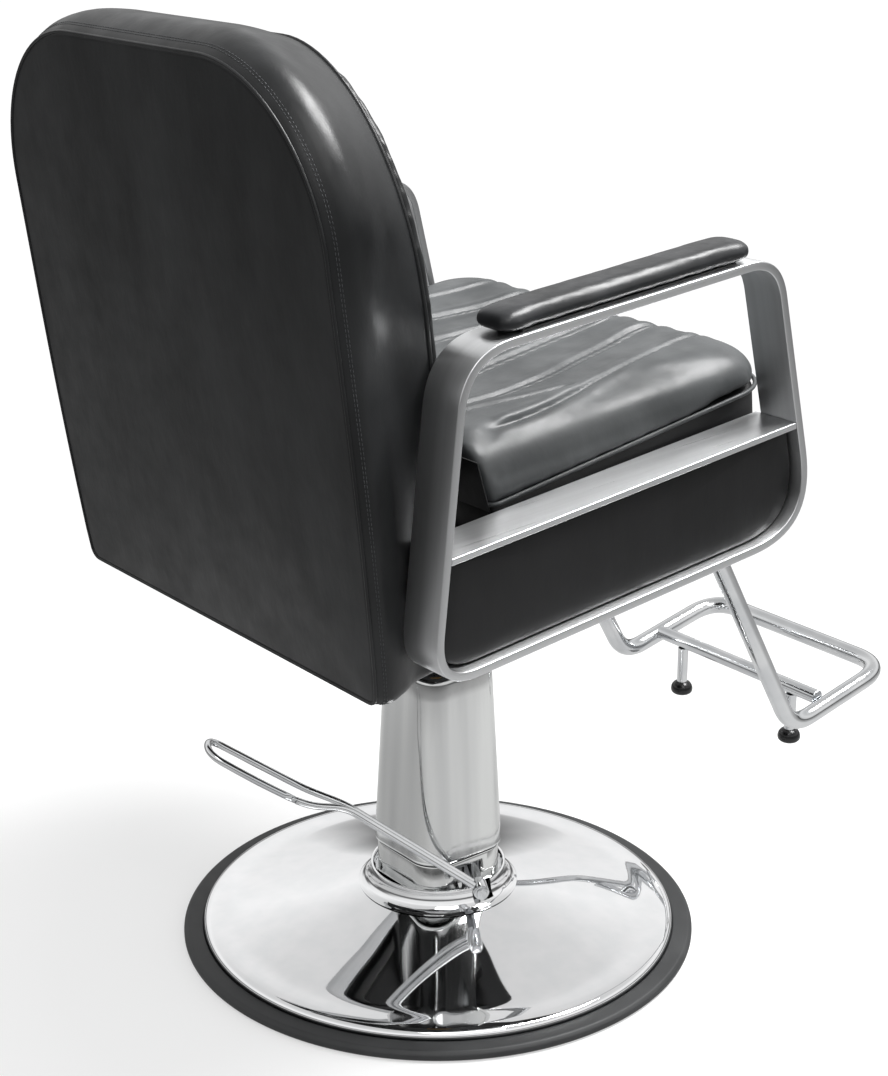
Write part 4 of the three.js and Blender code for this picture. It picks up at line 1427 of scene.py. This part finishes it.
    def make(self) -> None:
        """Builds and dresses the seat."""
        cushion = self.cushion()
        settle(cushion, "seat", SEAT_LEATHER_LIT, "seat_cushion")
        sizes = {"Pitch": 4.5 * MM, "Radius": 0.45 * MM, "Half length": 1.6 * MM}
        for i, path in enumerate(self.thread_paths(cushion)):
            settle(STITCHES.along(f"seat_stitches_{i + 1}", path, THREAD, **sizes), "seat", THREAD)
        settle(self.flap(), "seat", SHADED_LEATHER)
        plan = self.outline(0)
        welt = self.welt_height(plan[:, 1])
        path = self.ring(plan, self.cord_inset, welt - 1)
        cord = BAR.along("seat_welt", path, SEAT_LEATHER_LIT, closed=True, Radius=self.cord * MM)
        settle(cord, "seat", SEAT_LEATHER_LIT)
        # The lower band and the tray take the hide's nearly black copy: painted shade under the welt and the
        # seat.
        rings = [self.ring(plan, inset, z) for inset, z in self.border_levels]
        rings += [self.ring(plan, inset, welt - below) for inset, below in ((8, 5), (12, 2), (40, 2))]
        band = loft("seat_border_shaded_leather", rings, SHADED_LEATHER)
        settle(band, "seat", SHADED_LEATHER, "seat_cushion")
        tray = [self.ring(plan, inset, z) for inset, z in self.base_levels]
        settle(loft("seat_base_shaded_leather", tray, SHADED_LEATHER), "seat", SHADED_LEATHER, "seat_base")


# ---------------------------------------------------------------- back

# How much larger than the gusset a row of stitches on it is, so that the thread lies on the hide.
STITCH_LIFT = 1.0006


@dataclass
class Back:
    """The arched back: crowned rear panel, puffed gusset, welts and a channelled front cushion."""

    depth: float = 106
    narrowing: float = 12
    sections: tuple[tuple[float, ...], ...] = (
        # depth, half width, foot, top, corner half-axes
        (0, 280, 4, 606, 164, 164),
        (-14, 284, 0, 615, 172, 168),
        (-34, 280, 0, 621, 182, 178),
        (-58, 270, 0, 618, 182, 204),
        (-106, 270, 0, 598, 172, 244),
    )
    swell: float = 14
    crown: float = 6.5
    pinch: float = 5
    foot_radius: float = 13
    cushion_rear: float = -112.3
    front_outline: tuple[float, ...] = (270, 108, 598, 172, 244)
    channels: tuple[Channel, ...] = (
        Channel(((140, 196), (250, 200), (380, 186), (450, 168)), depth=4.5),
        Channel(((140, 120), (240, 132), (360, 124), (480, 104), (540, 92)), pair=11),
        Channel(((140, 50), (260, 56), (400, 50), (550, 42)), pair=11),
    )

    def outline(self, half: float, foot: float, top: float, wide: float, high: float) -> Points:
        """Arched outline, from the middle of the foot round by +X.

        Args:
            half: Half its width.
            foot: Height of its foot.
            top: Height of its top.
            wide: Half-width of its upper corners.
            high: Height of its upper corners.

        Returns:
            Across and height of its points.
        """
        round_foot = self.foot_radius
        points = [(x, foot) for x in np.linspace(0, half - self.narrowing - round_foot, 10)[:-1]]
        for a in np.linspace(0, math.pi / 2, 6):
            x = half - self.narrowing - round_foot * (1 - math.sin(a))
            points.append((x, foot + round_foot * (1 - math.cos(a))))
        for z in np.linspace(foot + round_foot, top - high, 22)[1:]:
            rise = min((z - foot) / (0.5 * (top - foot)), 1)
            points.append((half - self.narrowing * (1 - rise) ** 2, z))
        for a in np.linspace(0, math.pi / 2, 26)[1:]:
            points.append((half - wide + wide * math.cos(a), top - high + high * math.sin(a)))
        points += [(x, top) for x in np.linspace(half - wide, 0, 8)[1:]]
        mirrored = [(-x, z) for x, z in reversed(points[1:-1])]
        return np.array(points + mirrored)

    def section(self, depth: float) -> Points:
        """Sizes of the gusset's outline, on smooth curves through the sections.

        Args:
            depth: Where the outline is wanted.

        Returns:
            Its half width, foot, top and corner half-axes.
        """
        table = np.array(self.sections)
        places, sizes = -table[:, 0], table[:, 1:]
        slopes = np.gradient(sizes, places, axis=0)
        i = int(np.clip(np.searchsorted(places, -depth) - 1, 0, len(places) - 2))
        span = places[i + 1] - places[i]
        t = (-depth - places[i]) / span
        out = sizes[i] * (1 + 2 * t) * (1 - t) ** 2 + sizes[i + 1] * t * t * (3 - 2 * t)
        return out + span * (slopes[i] * t * (1 - t) ** 2 + slopes[i + 1] * t * t * (t - 1))

    def gusset(self, depth: float) -> Points:
        """Ring of the gusset: puffed above the arms, and with a dimple over them.

        Args:
            depth: Where the ring is.

        Returns:
            Its points in the back's frame.
        """
        flat = self.outline(*self.section(depth))
        side = smooth_step((np.abs(flat[:, 0]) - 90) / 130)
        above = smooth_step((flat[:, 1] - 330) / 130)
        puff = self.swell * math.sin(math.pi * min(max((-depth - 10) / 96, 0), 1))
        fold = math.exp(-(((depth + 66) / 26) ** 2))
        dimple = self.pinch * fold * np.exp(-(((flat[:, 1] - 352) / 30) ** 2))
        x = flat[:, 0] + np.sign(flat[:, 0]) * side * (puff * above + dimple)
        return np.column_stack([x, np.full(len(flat), depth), flat[:, 1]])

    def inward(self, ring: Points, scale: float, depth: float) -> Points:
        """A ring shrunk towards the middle of the back.

        Args:
            ring: Its points in the back's frame.
            scale: How much of its size is left.
            depth: The depth that it is moved to.

        Returns:
            The smaller ring.
        """
        middle = np.array([0, 0, 300.0])
        moved = middle + (ring - middle) * scale
        moved[:, 1] = depth
        return moved

    def shell(self) -> bpy.types.Object:
        """The upholstered shell with its crowned rear panel.

        Returns:
            The shell.
        """
        edge = self.gusset(0)
        rings = []
        for scale in (0.03, 0.12, 0.25, 0.4, 0.55, 0.7, 0.82, 0.9, 0.95, 0.98, 0.993):
            rings.append(self.inward(edge, scale, self.crown * (1 - scale**2.4) + 0.6))
        rings.append(self.inward(edge, 0.999, -1.2))
        for depth in np.linspace(-2.5, -self.depth + 3, 26):
            rings.append(self.gusset(depth))
        front = self.gusset(-self.depth)
        hem = ((0.995, -104.6), (0.985, -105.6), (0.965, -105.6), (0.95, -99), (0.5, -99), (0.05, -99))
        for scale, depth in hem:
            rings.append(self.inward(front, scale, depth))
        return loft("back_shell_leather", [BACK_FRAME.world(r) for r in rings], BACK_LEATHER)

    def cushion(self) -> bpy.types.Object:
        """The front cushion, with channels on the side that meets the sitter.

        Returns:
            The cushion, puffed and with its channels.
        """
        rear = self.cushion_rear
        flat = self.outline(*self.front_outline)
        local = np.column_stack([flat[:, 0], np.zeros(len(flat)), flat[:, 1]])
        rings = []
        profile = [(0.5, 0), (0.93, 0), (0.952, -1.0), (0.962, -5), (0.962, -11), (0.95, -17), (0.925, -22.5)]
        profile += [(0.88, -26.5), (0.8, -28.5), (0.6, -29), (0.3, -29), (0.05, -29)]
        middle = np.array([0, 0, 357.0])
        for scale, depth in profile:
            moved = middle + (local - middle) * scale
            low = smooth_step((230 - moved[:, 2]) / 110)
            moved[:, 1] = rear + depth * (1 + 0.35 * low)
            rings.append(BACK_FRAME.world(moved))
        piece = loft("back_cushion_leather", rings, BACK_LEATHER)
        stuffed(piece, 7, 6, (BACK_FRAME.place(0, rear - 6, 0), BACK_FRAME.heading(0, -1, 0)))

        def depth(places: Points) -> Points:
            """Channels on the front face only.

            Args:
                places: Places in metres.

            Returns:
                The depth at each, in millimetres.
            """
            across, behind, height = BACK_FRAME.local(places).T
            total = sum(channel.relief(np.abs(across), height) for channel in self.channels)
            return total * smooth_step((rear - behind - 12) / 12)

        subdivided(piece)
        press(piece, depth)
        return piece

    def make(self) -> None:
        """Builds and dresses the back."""
        shell = self.shell()
        settle(shell, "seat", BACK_LEATHER, "back_shell")
        edge = self.gusset(0)
        welts = (
            ("back_rear_welt", self.inward(edge, 0.998, 0.2), 1.7),
            ("back_front_welt", self.gusset(-self.depth + 1.5), 1.9),
        )
        for name, ring, radius in welts:
            path = BACK_FRAME.world(ring)
            cord = BAR.along(name, path, BACK_LEATHER, closed=True, Radius=radius * MM)
            settle(cord, "seat", BACK_LEATHER)
        sizes = {"Pitch": 4.6 * MM, "Radius": 0.4 * MM, "Half length": 1.7 * MM}
        for name, depth in (("back_gusset_stitches", -7.5), ("back_gusset_stitches_inner", -9.8)):
            path = BACK_FRAME.world(self.inward(self.gusset(depth), STITCH_LIFT, depth))
            settle(STITCHES.along(name, path, THREAD, closed=True, **sizes), "seat", THREAD)
        cushion = self.cushion()
        settle(cushion, "seat", BACK_LEATHER, "back_cushion")


# ---------------------------------------------------------------- arms


@dataclass
class Arms:
    """Flat-bar loops with shelves, upholstered side panels and pads."""

    inner: float = 274
    outer: float = 325.4
    bar: float = 9
    corners: tuple[tuple[float, float], ...] = ((-256, -3), (266, -3), (198, 312), (-211, 308))
    setbacks: tuple[float, ...] = (94, 58, 58, 46)
    shelf_top: float = 124
    shelf_thickness: float = 7
    pad_front: float = -174
    pad_rear: float = 150
    pad_half: float = 26
    pad_levels: tuple[tuple[float, float], ...] = (
        # inset, height over the loop
        (16, 3.6), (6, 3.6), (2.2, 4.6), (0.6, 7), (0, 10.5), (0.2, 13.5), (1.6, 17.2), (4.6, 20),
        (9, 21.6), (14, 22.3), (20, 22.5),
    )

    def inset(self, corners: Points, distance: float) -> Points:
        """The corner polygon moved inwards.

        Args:
            corners: Its corners.
            distance: How far its sides move.

        Returns:
            The smaller polygon.
        """
        out = []
        for i, corner in enumerate(corners):
            before, after = corners[i - 1], corners[(i + 1) % len(corners)]
            a = (corner - before) / np.linalg.norm(corner - before)
            b = (after - corner) / np.linalg.norm(after - corner)
            na, nb = np.array([-a[1], a[0]]), np.array([-b[1], b[0]])
            out.append(corner + (na + nb) * distance / (1 + float(na @ nb)))
        return np.array(out)

    def loop(self, side: int, word: str) -> bpy.types.Object:
        """One bar bent into a closed loop, with eased edges and a UV map along it.

        Args:
            side: 1 for the left arm, -1 for the right.
            word: Its side's name.

        Returns:
            The loop.
        """
        path = filleted(np.array(self.corners, float), self.setbacks, closed=True, steps=18)
        ahead = np.roll(path, -1, axis=0) - np.roll(path, 1, axis=0)
        ahead /= np.linalg.norm(ahead, axis=1, keepdims=True)
        normal = np.stack([-ahead[:, 1], ahead[:, 0]], axis=1)
        half = (self.outer - self.inner) / 2
        middle = (self.outer + self.inner) / 2
        flat = rounded_square(self.bar / 2, half, 1.1, 3)
        section = [(a + self.bar / 2, side * (middle + b)) for a, b in flat]
        rows, count = len(path), len(section)
        vertices = []
        for spot, n in zip(path, normal):
            for inward, across in section:
                vertices.append((across, *(spot + n * inward)))
        places = SEAT_FRAME.world(np.array(vertices))
        piece = new_object(f"arm_loop_{word}", places, strip_faces(rows, count, True), BRUSHED_BAR)
        steps = np.linalg.norm(np.roll(path, -1, axis=0) - path, axis=1)
        run = np.concatenate([[0], np.cumsum(steps)])
        girth = np.linalg.norm(np.roll(flat, -1, axis=0) - flat, axis=1)
        girth = np.concatenate([[0], np.cumsum(girth)])
        layer = piece.data.uv_layers.new(name=PATH_UV)
        for face in piece.data.polygons:
            ids = [piece.data.loops[i].vertex_index for i in face.loop_indices]
            last_row = {i // count for i in ids} == {0, rows - 1}
            last_column = {i % count for i in ids} == {0, count - 1}
            for loop_index, vertex in zip(face.loop_indices, ids):
                row = rows if last_row and vertex // count == 0 else vertex // count
                column = count if last_column and vertex % count == 0 else vertex % count
                layer.data[loop_index].uv = (run[row] * MM, girth[column] * MM)
        return piece

    def edge_at(self, low: Points, high: Points, height: float) -> float:
        """Depth of one side of the loop's inner outline at a height."""
        return float(low[0] + (high[0] - low[0]) * (height - low[1]) / (high[1] - low[1]))

    def shelf(self, side: int, word: str) -> bpy.types.Object:
        """The shelf plate across the loop.

        Args:
            side: 1 for the left arm, -1 for the right.
            word: Its side's name.

        Returns:
            The plate, with a UV map along it.
        """
        front_foot, rear_foot, rear_head, front_head = self.inset(np.array(self.corners, float), self.bar)
        vertices = []
        for height in (self.shelf_top - self.shelf_thickness, self.shelf_top):
            front = self.edge_at(front_foot, front_head, height) + 0.4
            rear = self.edge_at(rear_foot, rear_head, height) - 0.4
            for x in (self.inner - 6, self.outer - 0.3):
                for y in (front, rear):
                    vertices.append((side * x, y, height))
        places = SEAT_FRAME.world(np.array(vertices, float))
        piece = new_object(f"arm_shelf_plate_{word}", places, BOX_FACES, BRUSHED_PLATE)
        ease_edges(piece, 1.2)
        layer = piece.data.uv_layers.new(name=PATH_UV)
        for corner in piece.data.loops:
            x, y, z = piece.data.vertices[corner.vertex_index].co
            layer.data[corner.index].uv = (-y, x + z)
        return piece

    def panel(self, side: int, word: str) -> bpy.types.Object:
        """The upholstered panel under the shelf, softly crowned.

        Args:
            side: 1 for the left arm, -1 for the right.
            word: Its side's name.

        Returns:
            The panel.
        """
        front_foot, rear_foot, rear_head, front_head = self.inset(np.array(self.corners, float), self.bar)
        top = self.shelf_top - self.shelf_thickness
        corners = np.array([
            front_foot,
            rear_foot,
            (self.edge_at(rear_foot, rear_head, top), top),
            (self.edge_at(front_foot, front_head, top), top),
        ])
        path = filleted(self.inset(corners, 1.2), [82, 48, 6, 6], closed=True, steps=14)
        outline = densified(path, 18)
        middle = outline.mean(0)
        face = self.outer - 11.5
        inner = self.inner + 1
        rings = [
            (0.5, inner), (0.97, inner), (0.99, inner + 2), (1.0, inner + 8), (1.0, face - 6.5),
            (0.996, face - 3.4), (0.986, face - 1.2), (0.97, face), (0.9, face + 0.9), (0.75, face + 1.7),
            (0.5, face + 2.2), (0.2, face + 2.4), (0.03, face + 2.4),
        ]
        placed = []
        for scale, x in rings:
            flat = middle + (outline - middle) * scale
            local = np.column_stack([np.full(len(flat), side * x), flat])
            placed.append(SEAT_FRAME.world(local))
        # The panel takes the hide's nearly black copy: painted shade under the shelf.
        return loft(f"side_panel_shaded_leather_{word}", placed, SHADED_LEATHER)

    def top_edge(self, y: Points) -> Points:
        """Height of the loop's top edge."""
        rear, front = self.corners[2], self.corners[3]
        return front[1] + (rear[1] - front[1]) / (rear[0] - front[0]) * (y - front[0])

    def pad(self, side: int, word: str) -> bpy.types.Object:
        """The arm pad: firm, with rounded ends and a crowned top.

        Args:
            side: 1 for the left arm, -1 for the right.
            word: Its side's name.

        Returns:
            The pad, puffed.
        """
        middle = np.array([(self.inner + self.outer) / 2, (self.pad_front + self.pad_rear) / 2])
        half_long = (self.pad_rear - self.pad_front) / 2
        plan = densified(rounded_square(self.pad_half, half_long, 15, 8), 14)
        placed = []
        for inset, height in self.pad_levels:
            scale = np.array([(self.pad_half - inset) / self.pad_half, (half_long - inset) / half_long])
            moved = middle + plan * scale
            z = self.top_edge(moved[:, 1]) + height
            placed.append(SEAT_FRAME.world(np.column_stack([side * moved[:, 0], moved[:, 1], z])))
        piece = loft(f"arm_pad_leather_{word}", placed, PAD_LEATHER_LIT)
        stuffed(piece, 3.5, 1.6)
        subdivided(piece)
        return piece

    def make(self) -> None:
        """Builds and dresses both arms."""
        for side, word in ((1, "left"), (-1, "right")):
            settle(self.loop(side, word), "seat", BRUSHED_BAR, f"arm_frame_{word}")
            settle(self.shelf(side, word), "seat", BRUSHED_PLATE, f"arm_shelf_{word}")
            panel = settle(self.panel(side, word), "seat", SHADED_LEATHER, f"side_panel_{word}")
            pad = settle(self.pad(side, word), "seat", PAD_LEATHER_LIT, f"arm_pad_{word}")
            refined(f"arm_pad_base_{word}", BLACK_PLASTIC, 0.8)


# ---------------------------------------------------------------- footrest


@dataclass
class Footrest:
    """The tube footrest with its crossbar, posts and rubber feet."""

    tube: float = 11
    half: float = 150
    rear_y: float = -90
    top_y: float = -238
    bend: tuple[float, float] = (-436, 178)
    front: tuple[float, float] = (-608, 214)
    cross_y: float = -495
    cross_lift: float = 8
    cross_tube: float = 9
    post_x: float = 96.5
    post_tube: float = 7
    setbacks: tuple[float, ...] = (0, 42, 34, 44, 44, 34, 42, 0)
    foot_profile: tuple[tuple[float, float], ...] = (
        (0.01, 124), (11, 124), (14, 127), (14.6, 131), (13.6, 135.5), (11, 139), (8, 141), (0.01, 141),
    )

    def run(self, y: float) -> float:
        """Height of the hidden straight run under the seat."""
        return SEAT_FRAME.origin[2] - y * math.tan(math.radians(SEAT_FRAME.tilt))

    def make(self) -> None:
        """Builds and dresses the footrest."""
        hidden = [(y, self.run(y)) for y in (self.rear_y, self.top_y)]
        stations = [*hidden, self.bend, self.front]
        corners = [(self.half, *s) for s in stations] + [(-self.half, *s) for s in reversed(stations)]
        path = filleted(np.array(corners, float), self.setbacks, steps=18) * MM
        bar = BAR.along("footrest_tube", path, CHROME_TUBE, Radius=self.tube * MM)
        settle(bar, "seat", CHROME_TUBE, "footrest_frame")
        share = (self.cross_y - self.bend[0]) / (self.front[0] - self.bend[0])
        height = self.bend[1] + share * (self.front[1] - self.bend[1]) + self.cross_lift
        reach = self.half - self.tube - 0.3
        ends = np.array([(-reach, self.cross_y, height), (reach, self.cross_y, height)]) * MM
        cross = BAR.along("footrest_crossbar_tube", ends, CHROME_TUBE, Radius=self.cross_tube * MM)
        cross.data.set_sharp_from_angle(angle=math.radians(40))
        settle(cross, "seat", CHROME_TUBE, "footrest_crossbar")
        for side, word in ((1, "left"), (-1, "right")):
            centre = np.array([side * self.post_x, self.cross_y, 0]) * MM
            post_ends = np.array([(0, 0, 141.3), (0, 0, height - 9.3)]) * MM + centre
            radius = self.post_tube * MM
            post = BAR.along(f"footrest_post_tube_{word}", post_ends, CHROME_TUBE, Radius=radius)
            post.data.set_sharp_from_angle(angle=math.radians(40))
            settle(post, "seat", CHROME_TUBE, f"footrest_post_{word}")
            tip = lathe(f"footrest_rubber_{word}", rounded(self.foot_profile, 2.0), FOOT_RUBBER, 48)
            tip.data.transform(Matrix.Translation(Vector(centre)))
            settle(tip, "seat", FOOT_RUBBER, f"footrest_foot_{word}")
            refined(f"footrest_clamp_{word}", BLACK_PAINT)


# ---------------------------------------------------------------- hidden parts


@dataclass
class Hidden:
    """Structure under the upholstery and the pump inside the column."""

    eased: tuple[str, ...] = (
        "saddle_bracket", "seat_rail_left", "seat_rail_right", "crossbar_front", "crossbar_rear",
        "back_bracket_left", "back_bracket_right",
    )

    def make(self) -> None:
        """Eases the bars that show from below and dresses the rest as it is."""
        for name in self.eased:
            refined(name, BLACK_PAINT, 1.0)
        plain = {
            BOARD: ("seat_board", "back_board", "back_panel"),
            CAST_IRON: ("base_weight", "pump_block"),
            MACHINED: (
                "cylinder_barrel", "crank_bracket", *(f"pump_bolt_{i}" for i in range(1, 5)),
                "plunger_spring", "pump_plunger",
            ),
            BRONZE: ("gland_nut", "piston_head"),
            BLACK_PAINT: ("oil_reservoir",),
        }
        for finish, names in plain.items():
            for name in names:
                frame["nodes"][name].material_slots[0].material = finish.material()


# ---------------------------------------------------------------- studio


@dataclass
class Studio:
    """White floor, soft studio light and the camera."""

    camera_place: tuple[float, float, float] = (-1.6964, 1.3438, 1.2483)
    forward: tuple[float, float, float] = (0.7368, -0.5876, -0.3343)
    lens: float = 69.02
    sky: tuple[tuple[float, float], ...] = (
        # sine of the height over the horizon, brightness
        (0.0, 0.1), (0.09, 0.18), (0.2, 0.88), (0.45, 1.0), (0.65, 0.75), (1.0, 0.6),
    )
    floor_reach: float = 14.0

    def camera(self) -> None:
        """Makes the camera and sets it as the scene's."""
        data = bpy.data.cameras.new("camera")
        data.lens = self.lens
        data.sensor_width = 36
        data.clip_end = 60
        camera = bpy.data.objects.new("camera", data)
        camera.location = self.camera_place
        camera.rotation_euler = Vector(self.forward).to_track_quat("-Z", "Y").to_euler()
        bpy.context.scene.collection.objects.link(camera)
        bpy.context.scene.camera = camera

    def lamp(self, name: str, spot: tuple, aim: tuple, size: float, power: float) -> None:
        """Adds a square soft box.

        Args:
            name: Its name.
            spot: Where it hangs, in metres.
            aim: The point that it faces.
            size: Its side in metres.
            power: Its power in watts.
        """
        data = bpy.data.lights.new(name, "AREA")
        data.size = size
        data.energy = power
        light = bpy.data.objects.new(name, data)
        light.location = spot
        light.rotation_euler = (Vector(aim) - Vector(spot)).to_track_quat("-Z", "Y").to_euler()
        bpy.context.scene.collection.objects.link(light)

    def world(self) -> None:
        """A room that is bright overhead and dark at the horizon, seen as plain white by the camera."""
        world = bpy.data.worlds.new("studio")
        world.use_nodes = True
        tree = world.node_tree
        tree.nodes.clear()
        direction = add(tree, "ShaderNodeTexCoord").outputs["Generated"]
        height = add(tree, "ShaderNodeSeparateXYZ", {0: direction}).outputs["Z"]
        ramp = add(tree, "ShaderNodeValToRGB", {0: height})
        stops = ramp.color_ramp.elements
        for stop, (position, level) in zip(stops, (self.sky[0], self.sky[-1])):
            stop.position = position
            stop.color = (level, level, level, 1)
        for position, level in self.sky[1:-1]:
            stops.new(position).color = (level, level, level, 1)
        room = add(tree, "ShaderNodeBackground", {"Color": ramp.outputs[0], "Strength": 1.0})
        plain = add(tree, "ShaderNodeBackground", {"Color": (1, 1, 1, 1), "Strength": 1.0})
        seen = add(tree, "ShaderNodeLightPath").outputs["Is Camera Ray"]
        mixed = add(tree, "ShaderNodeMixShader", {0: seen, 1: room.outputs[0], 2: plain.outputs[0]})
        add(tree, "ShaderNodeOutputWorld", {0: mixed.outputs[0]})
        bpy.context.scene.world = world

    def floor(self) -> None:
        """A wide matt floor: white with a soft shadow to the eye; to what it lights and what mirrors it, dark
        grey with a painted glow that is brightest near the chair.
        """
        paint = bpy.data.materials.new("white_studio_floor")
        paint.use_nodes = True
        tree = paint.node_tree
        tree.nodes.clear()
        coordinates = add(tree, "ShaderNodeTexCoord").outputs["Object"]
        distance = add(tree, "ShaderNodeVectorMath", {0: coordinates}, operation="LENGTH").outputs["Value"]
        far = remap(tree, distance, (0.45, 1.5), (0, 1))
        lit = add(tree, "ShaderNodeEmission", {"Color": (1, 1, 1, 1), "Strength": 1.05})
        paper = add(tree, "ShaderNodeBsdfDiffuse", {"Color": (0.86, 0.86, 0.86, 1)})
        near = add(tree, "ShaderNodeMixShader", {0: 0.45, 1: paper.outputs[0], 2: lit.outputs[0]})
        sweep = add(tree, "ShaderNodeMixShader", {0: far, 1: near.outputs[0], 2: lit.outputs[0]})
        # Painted light: the floor glows for everything but the camera, strongly within 0.85 m of the middle
        # and faintly beyond 1.3 m.
        grey = add(tree, "ShaderNodeBsdfDiffuse", {"Color": (0.2, 0.2, 0.2, 1)})
        level = remap(tree, distance, (0.85, 1.3), (0.4, 0.06))
        glow = add(tree, "ShaderNodeEmission", {"Color": (1, 1, 1, 1), "Strength": level})
        dull = add(tree, "ShaderNodeAddShader", {0: grey.outputs[0], 1: glow.outputs[0]})
        seen = add(tree, "ShaderNodeLightPath").outputs["Is Camera Ray"]
        mixed = add(tree, "ShaderNodeMixShader", {0: seen, 1: dull.outputs[0], 2: sweep.outputs[0]})
        add(tree, "ShaderNodeOutputMaterial", {0: mixed.outputs[0]})
        reach, below = self.floor_reach, -0.0006
        corners = [
            (-reach, -reach, below), (reach, -reach, below), (reach, reach, below), (-reach, reach, below),
        ]
        mesh = bpy.data.meshes.new("studio_floor")
        mesh.from_pydata(corners, [], [(0, 1, 2, 3)])
        mesh.materials.append(paint)
        piece = bpy.data.objects.new("studio_floor", mesh)
        bpy.context.scene.collection.objects.link(piece)

    def make(self) -> None:
        """Sets up the studio."""
        bpy.context.scene.view_settings.view_transform = "Standard"
        self.camera()
        self.world()
        self.floor()
        self.lamp("key", spot=(-0.7, -1.2, 2.95), aim=(-0.1, 0.1, 0.8), size=1.3, power=150)
        self.lamp("fill", spot=(-2.2, 0.9, 3.4), aim=(0, 0, 0.3), size=2.0, power=30)


def main() -> None:
    """Builds every sub-assembly in order."""
    logging.basicConfig(level=logging.INFO, format="%(name)s: %(message)s")
    Studio().make()
    for assembly in (Base(), Column(), PumpLever(), Footrest(), Hidden(), Back(), Seat(), Arms()):
        assembly.make()
        log.info("%s is done", type(assembly).__name__)


if __name__ == "__main__":
    main()
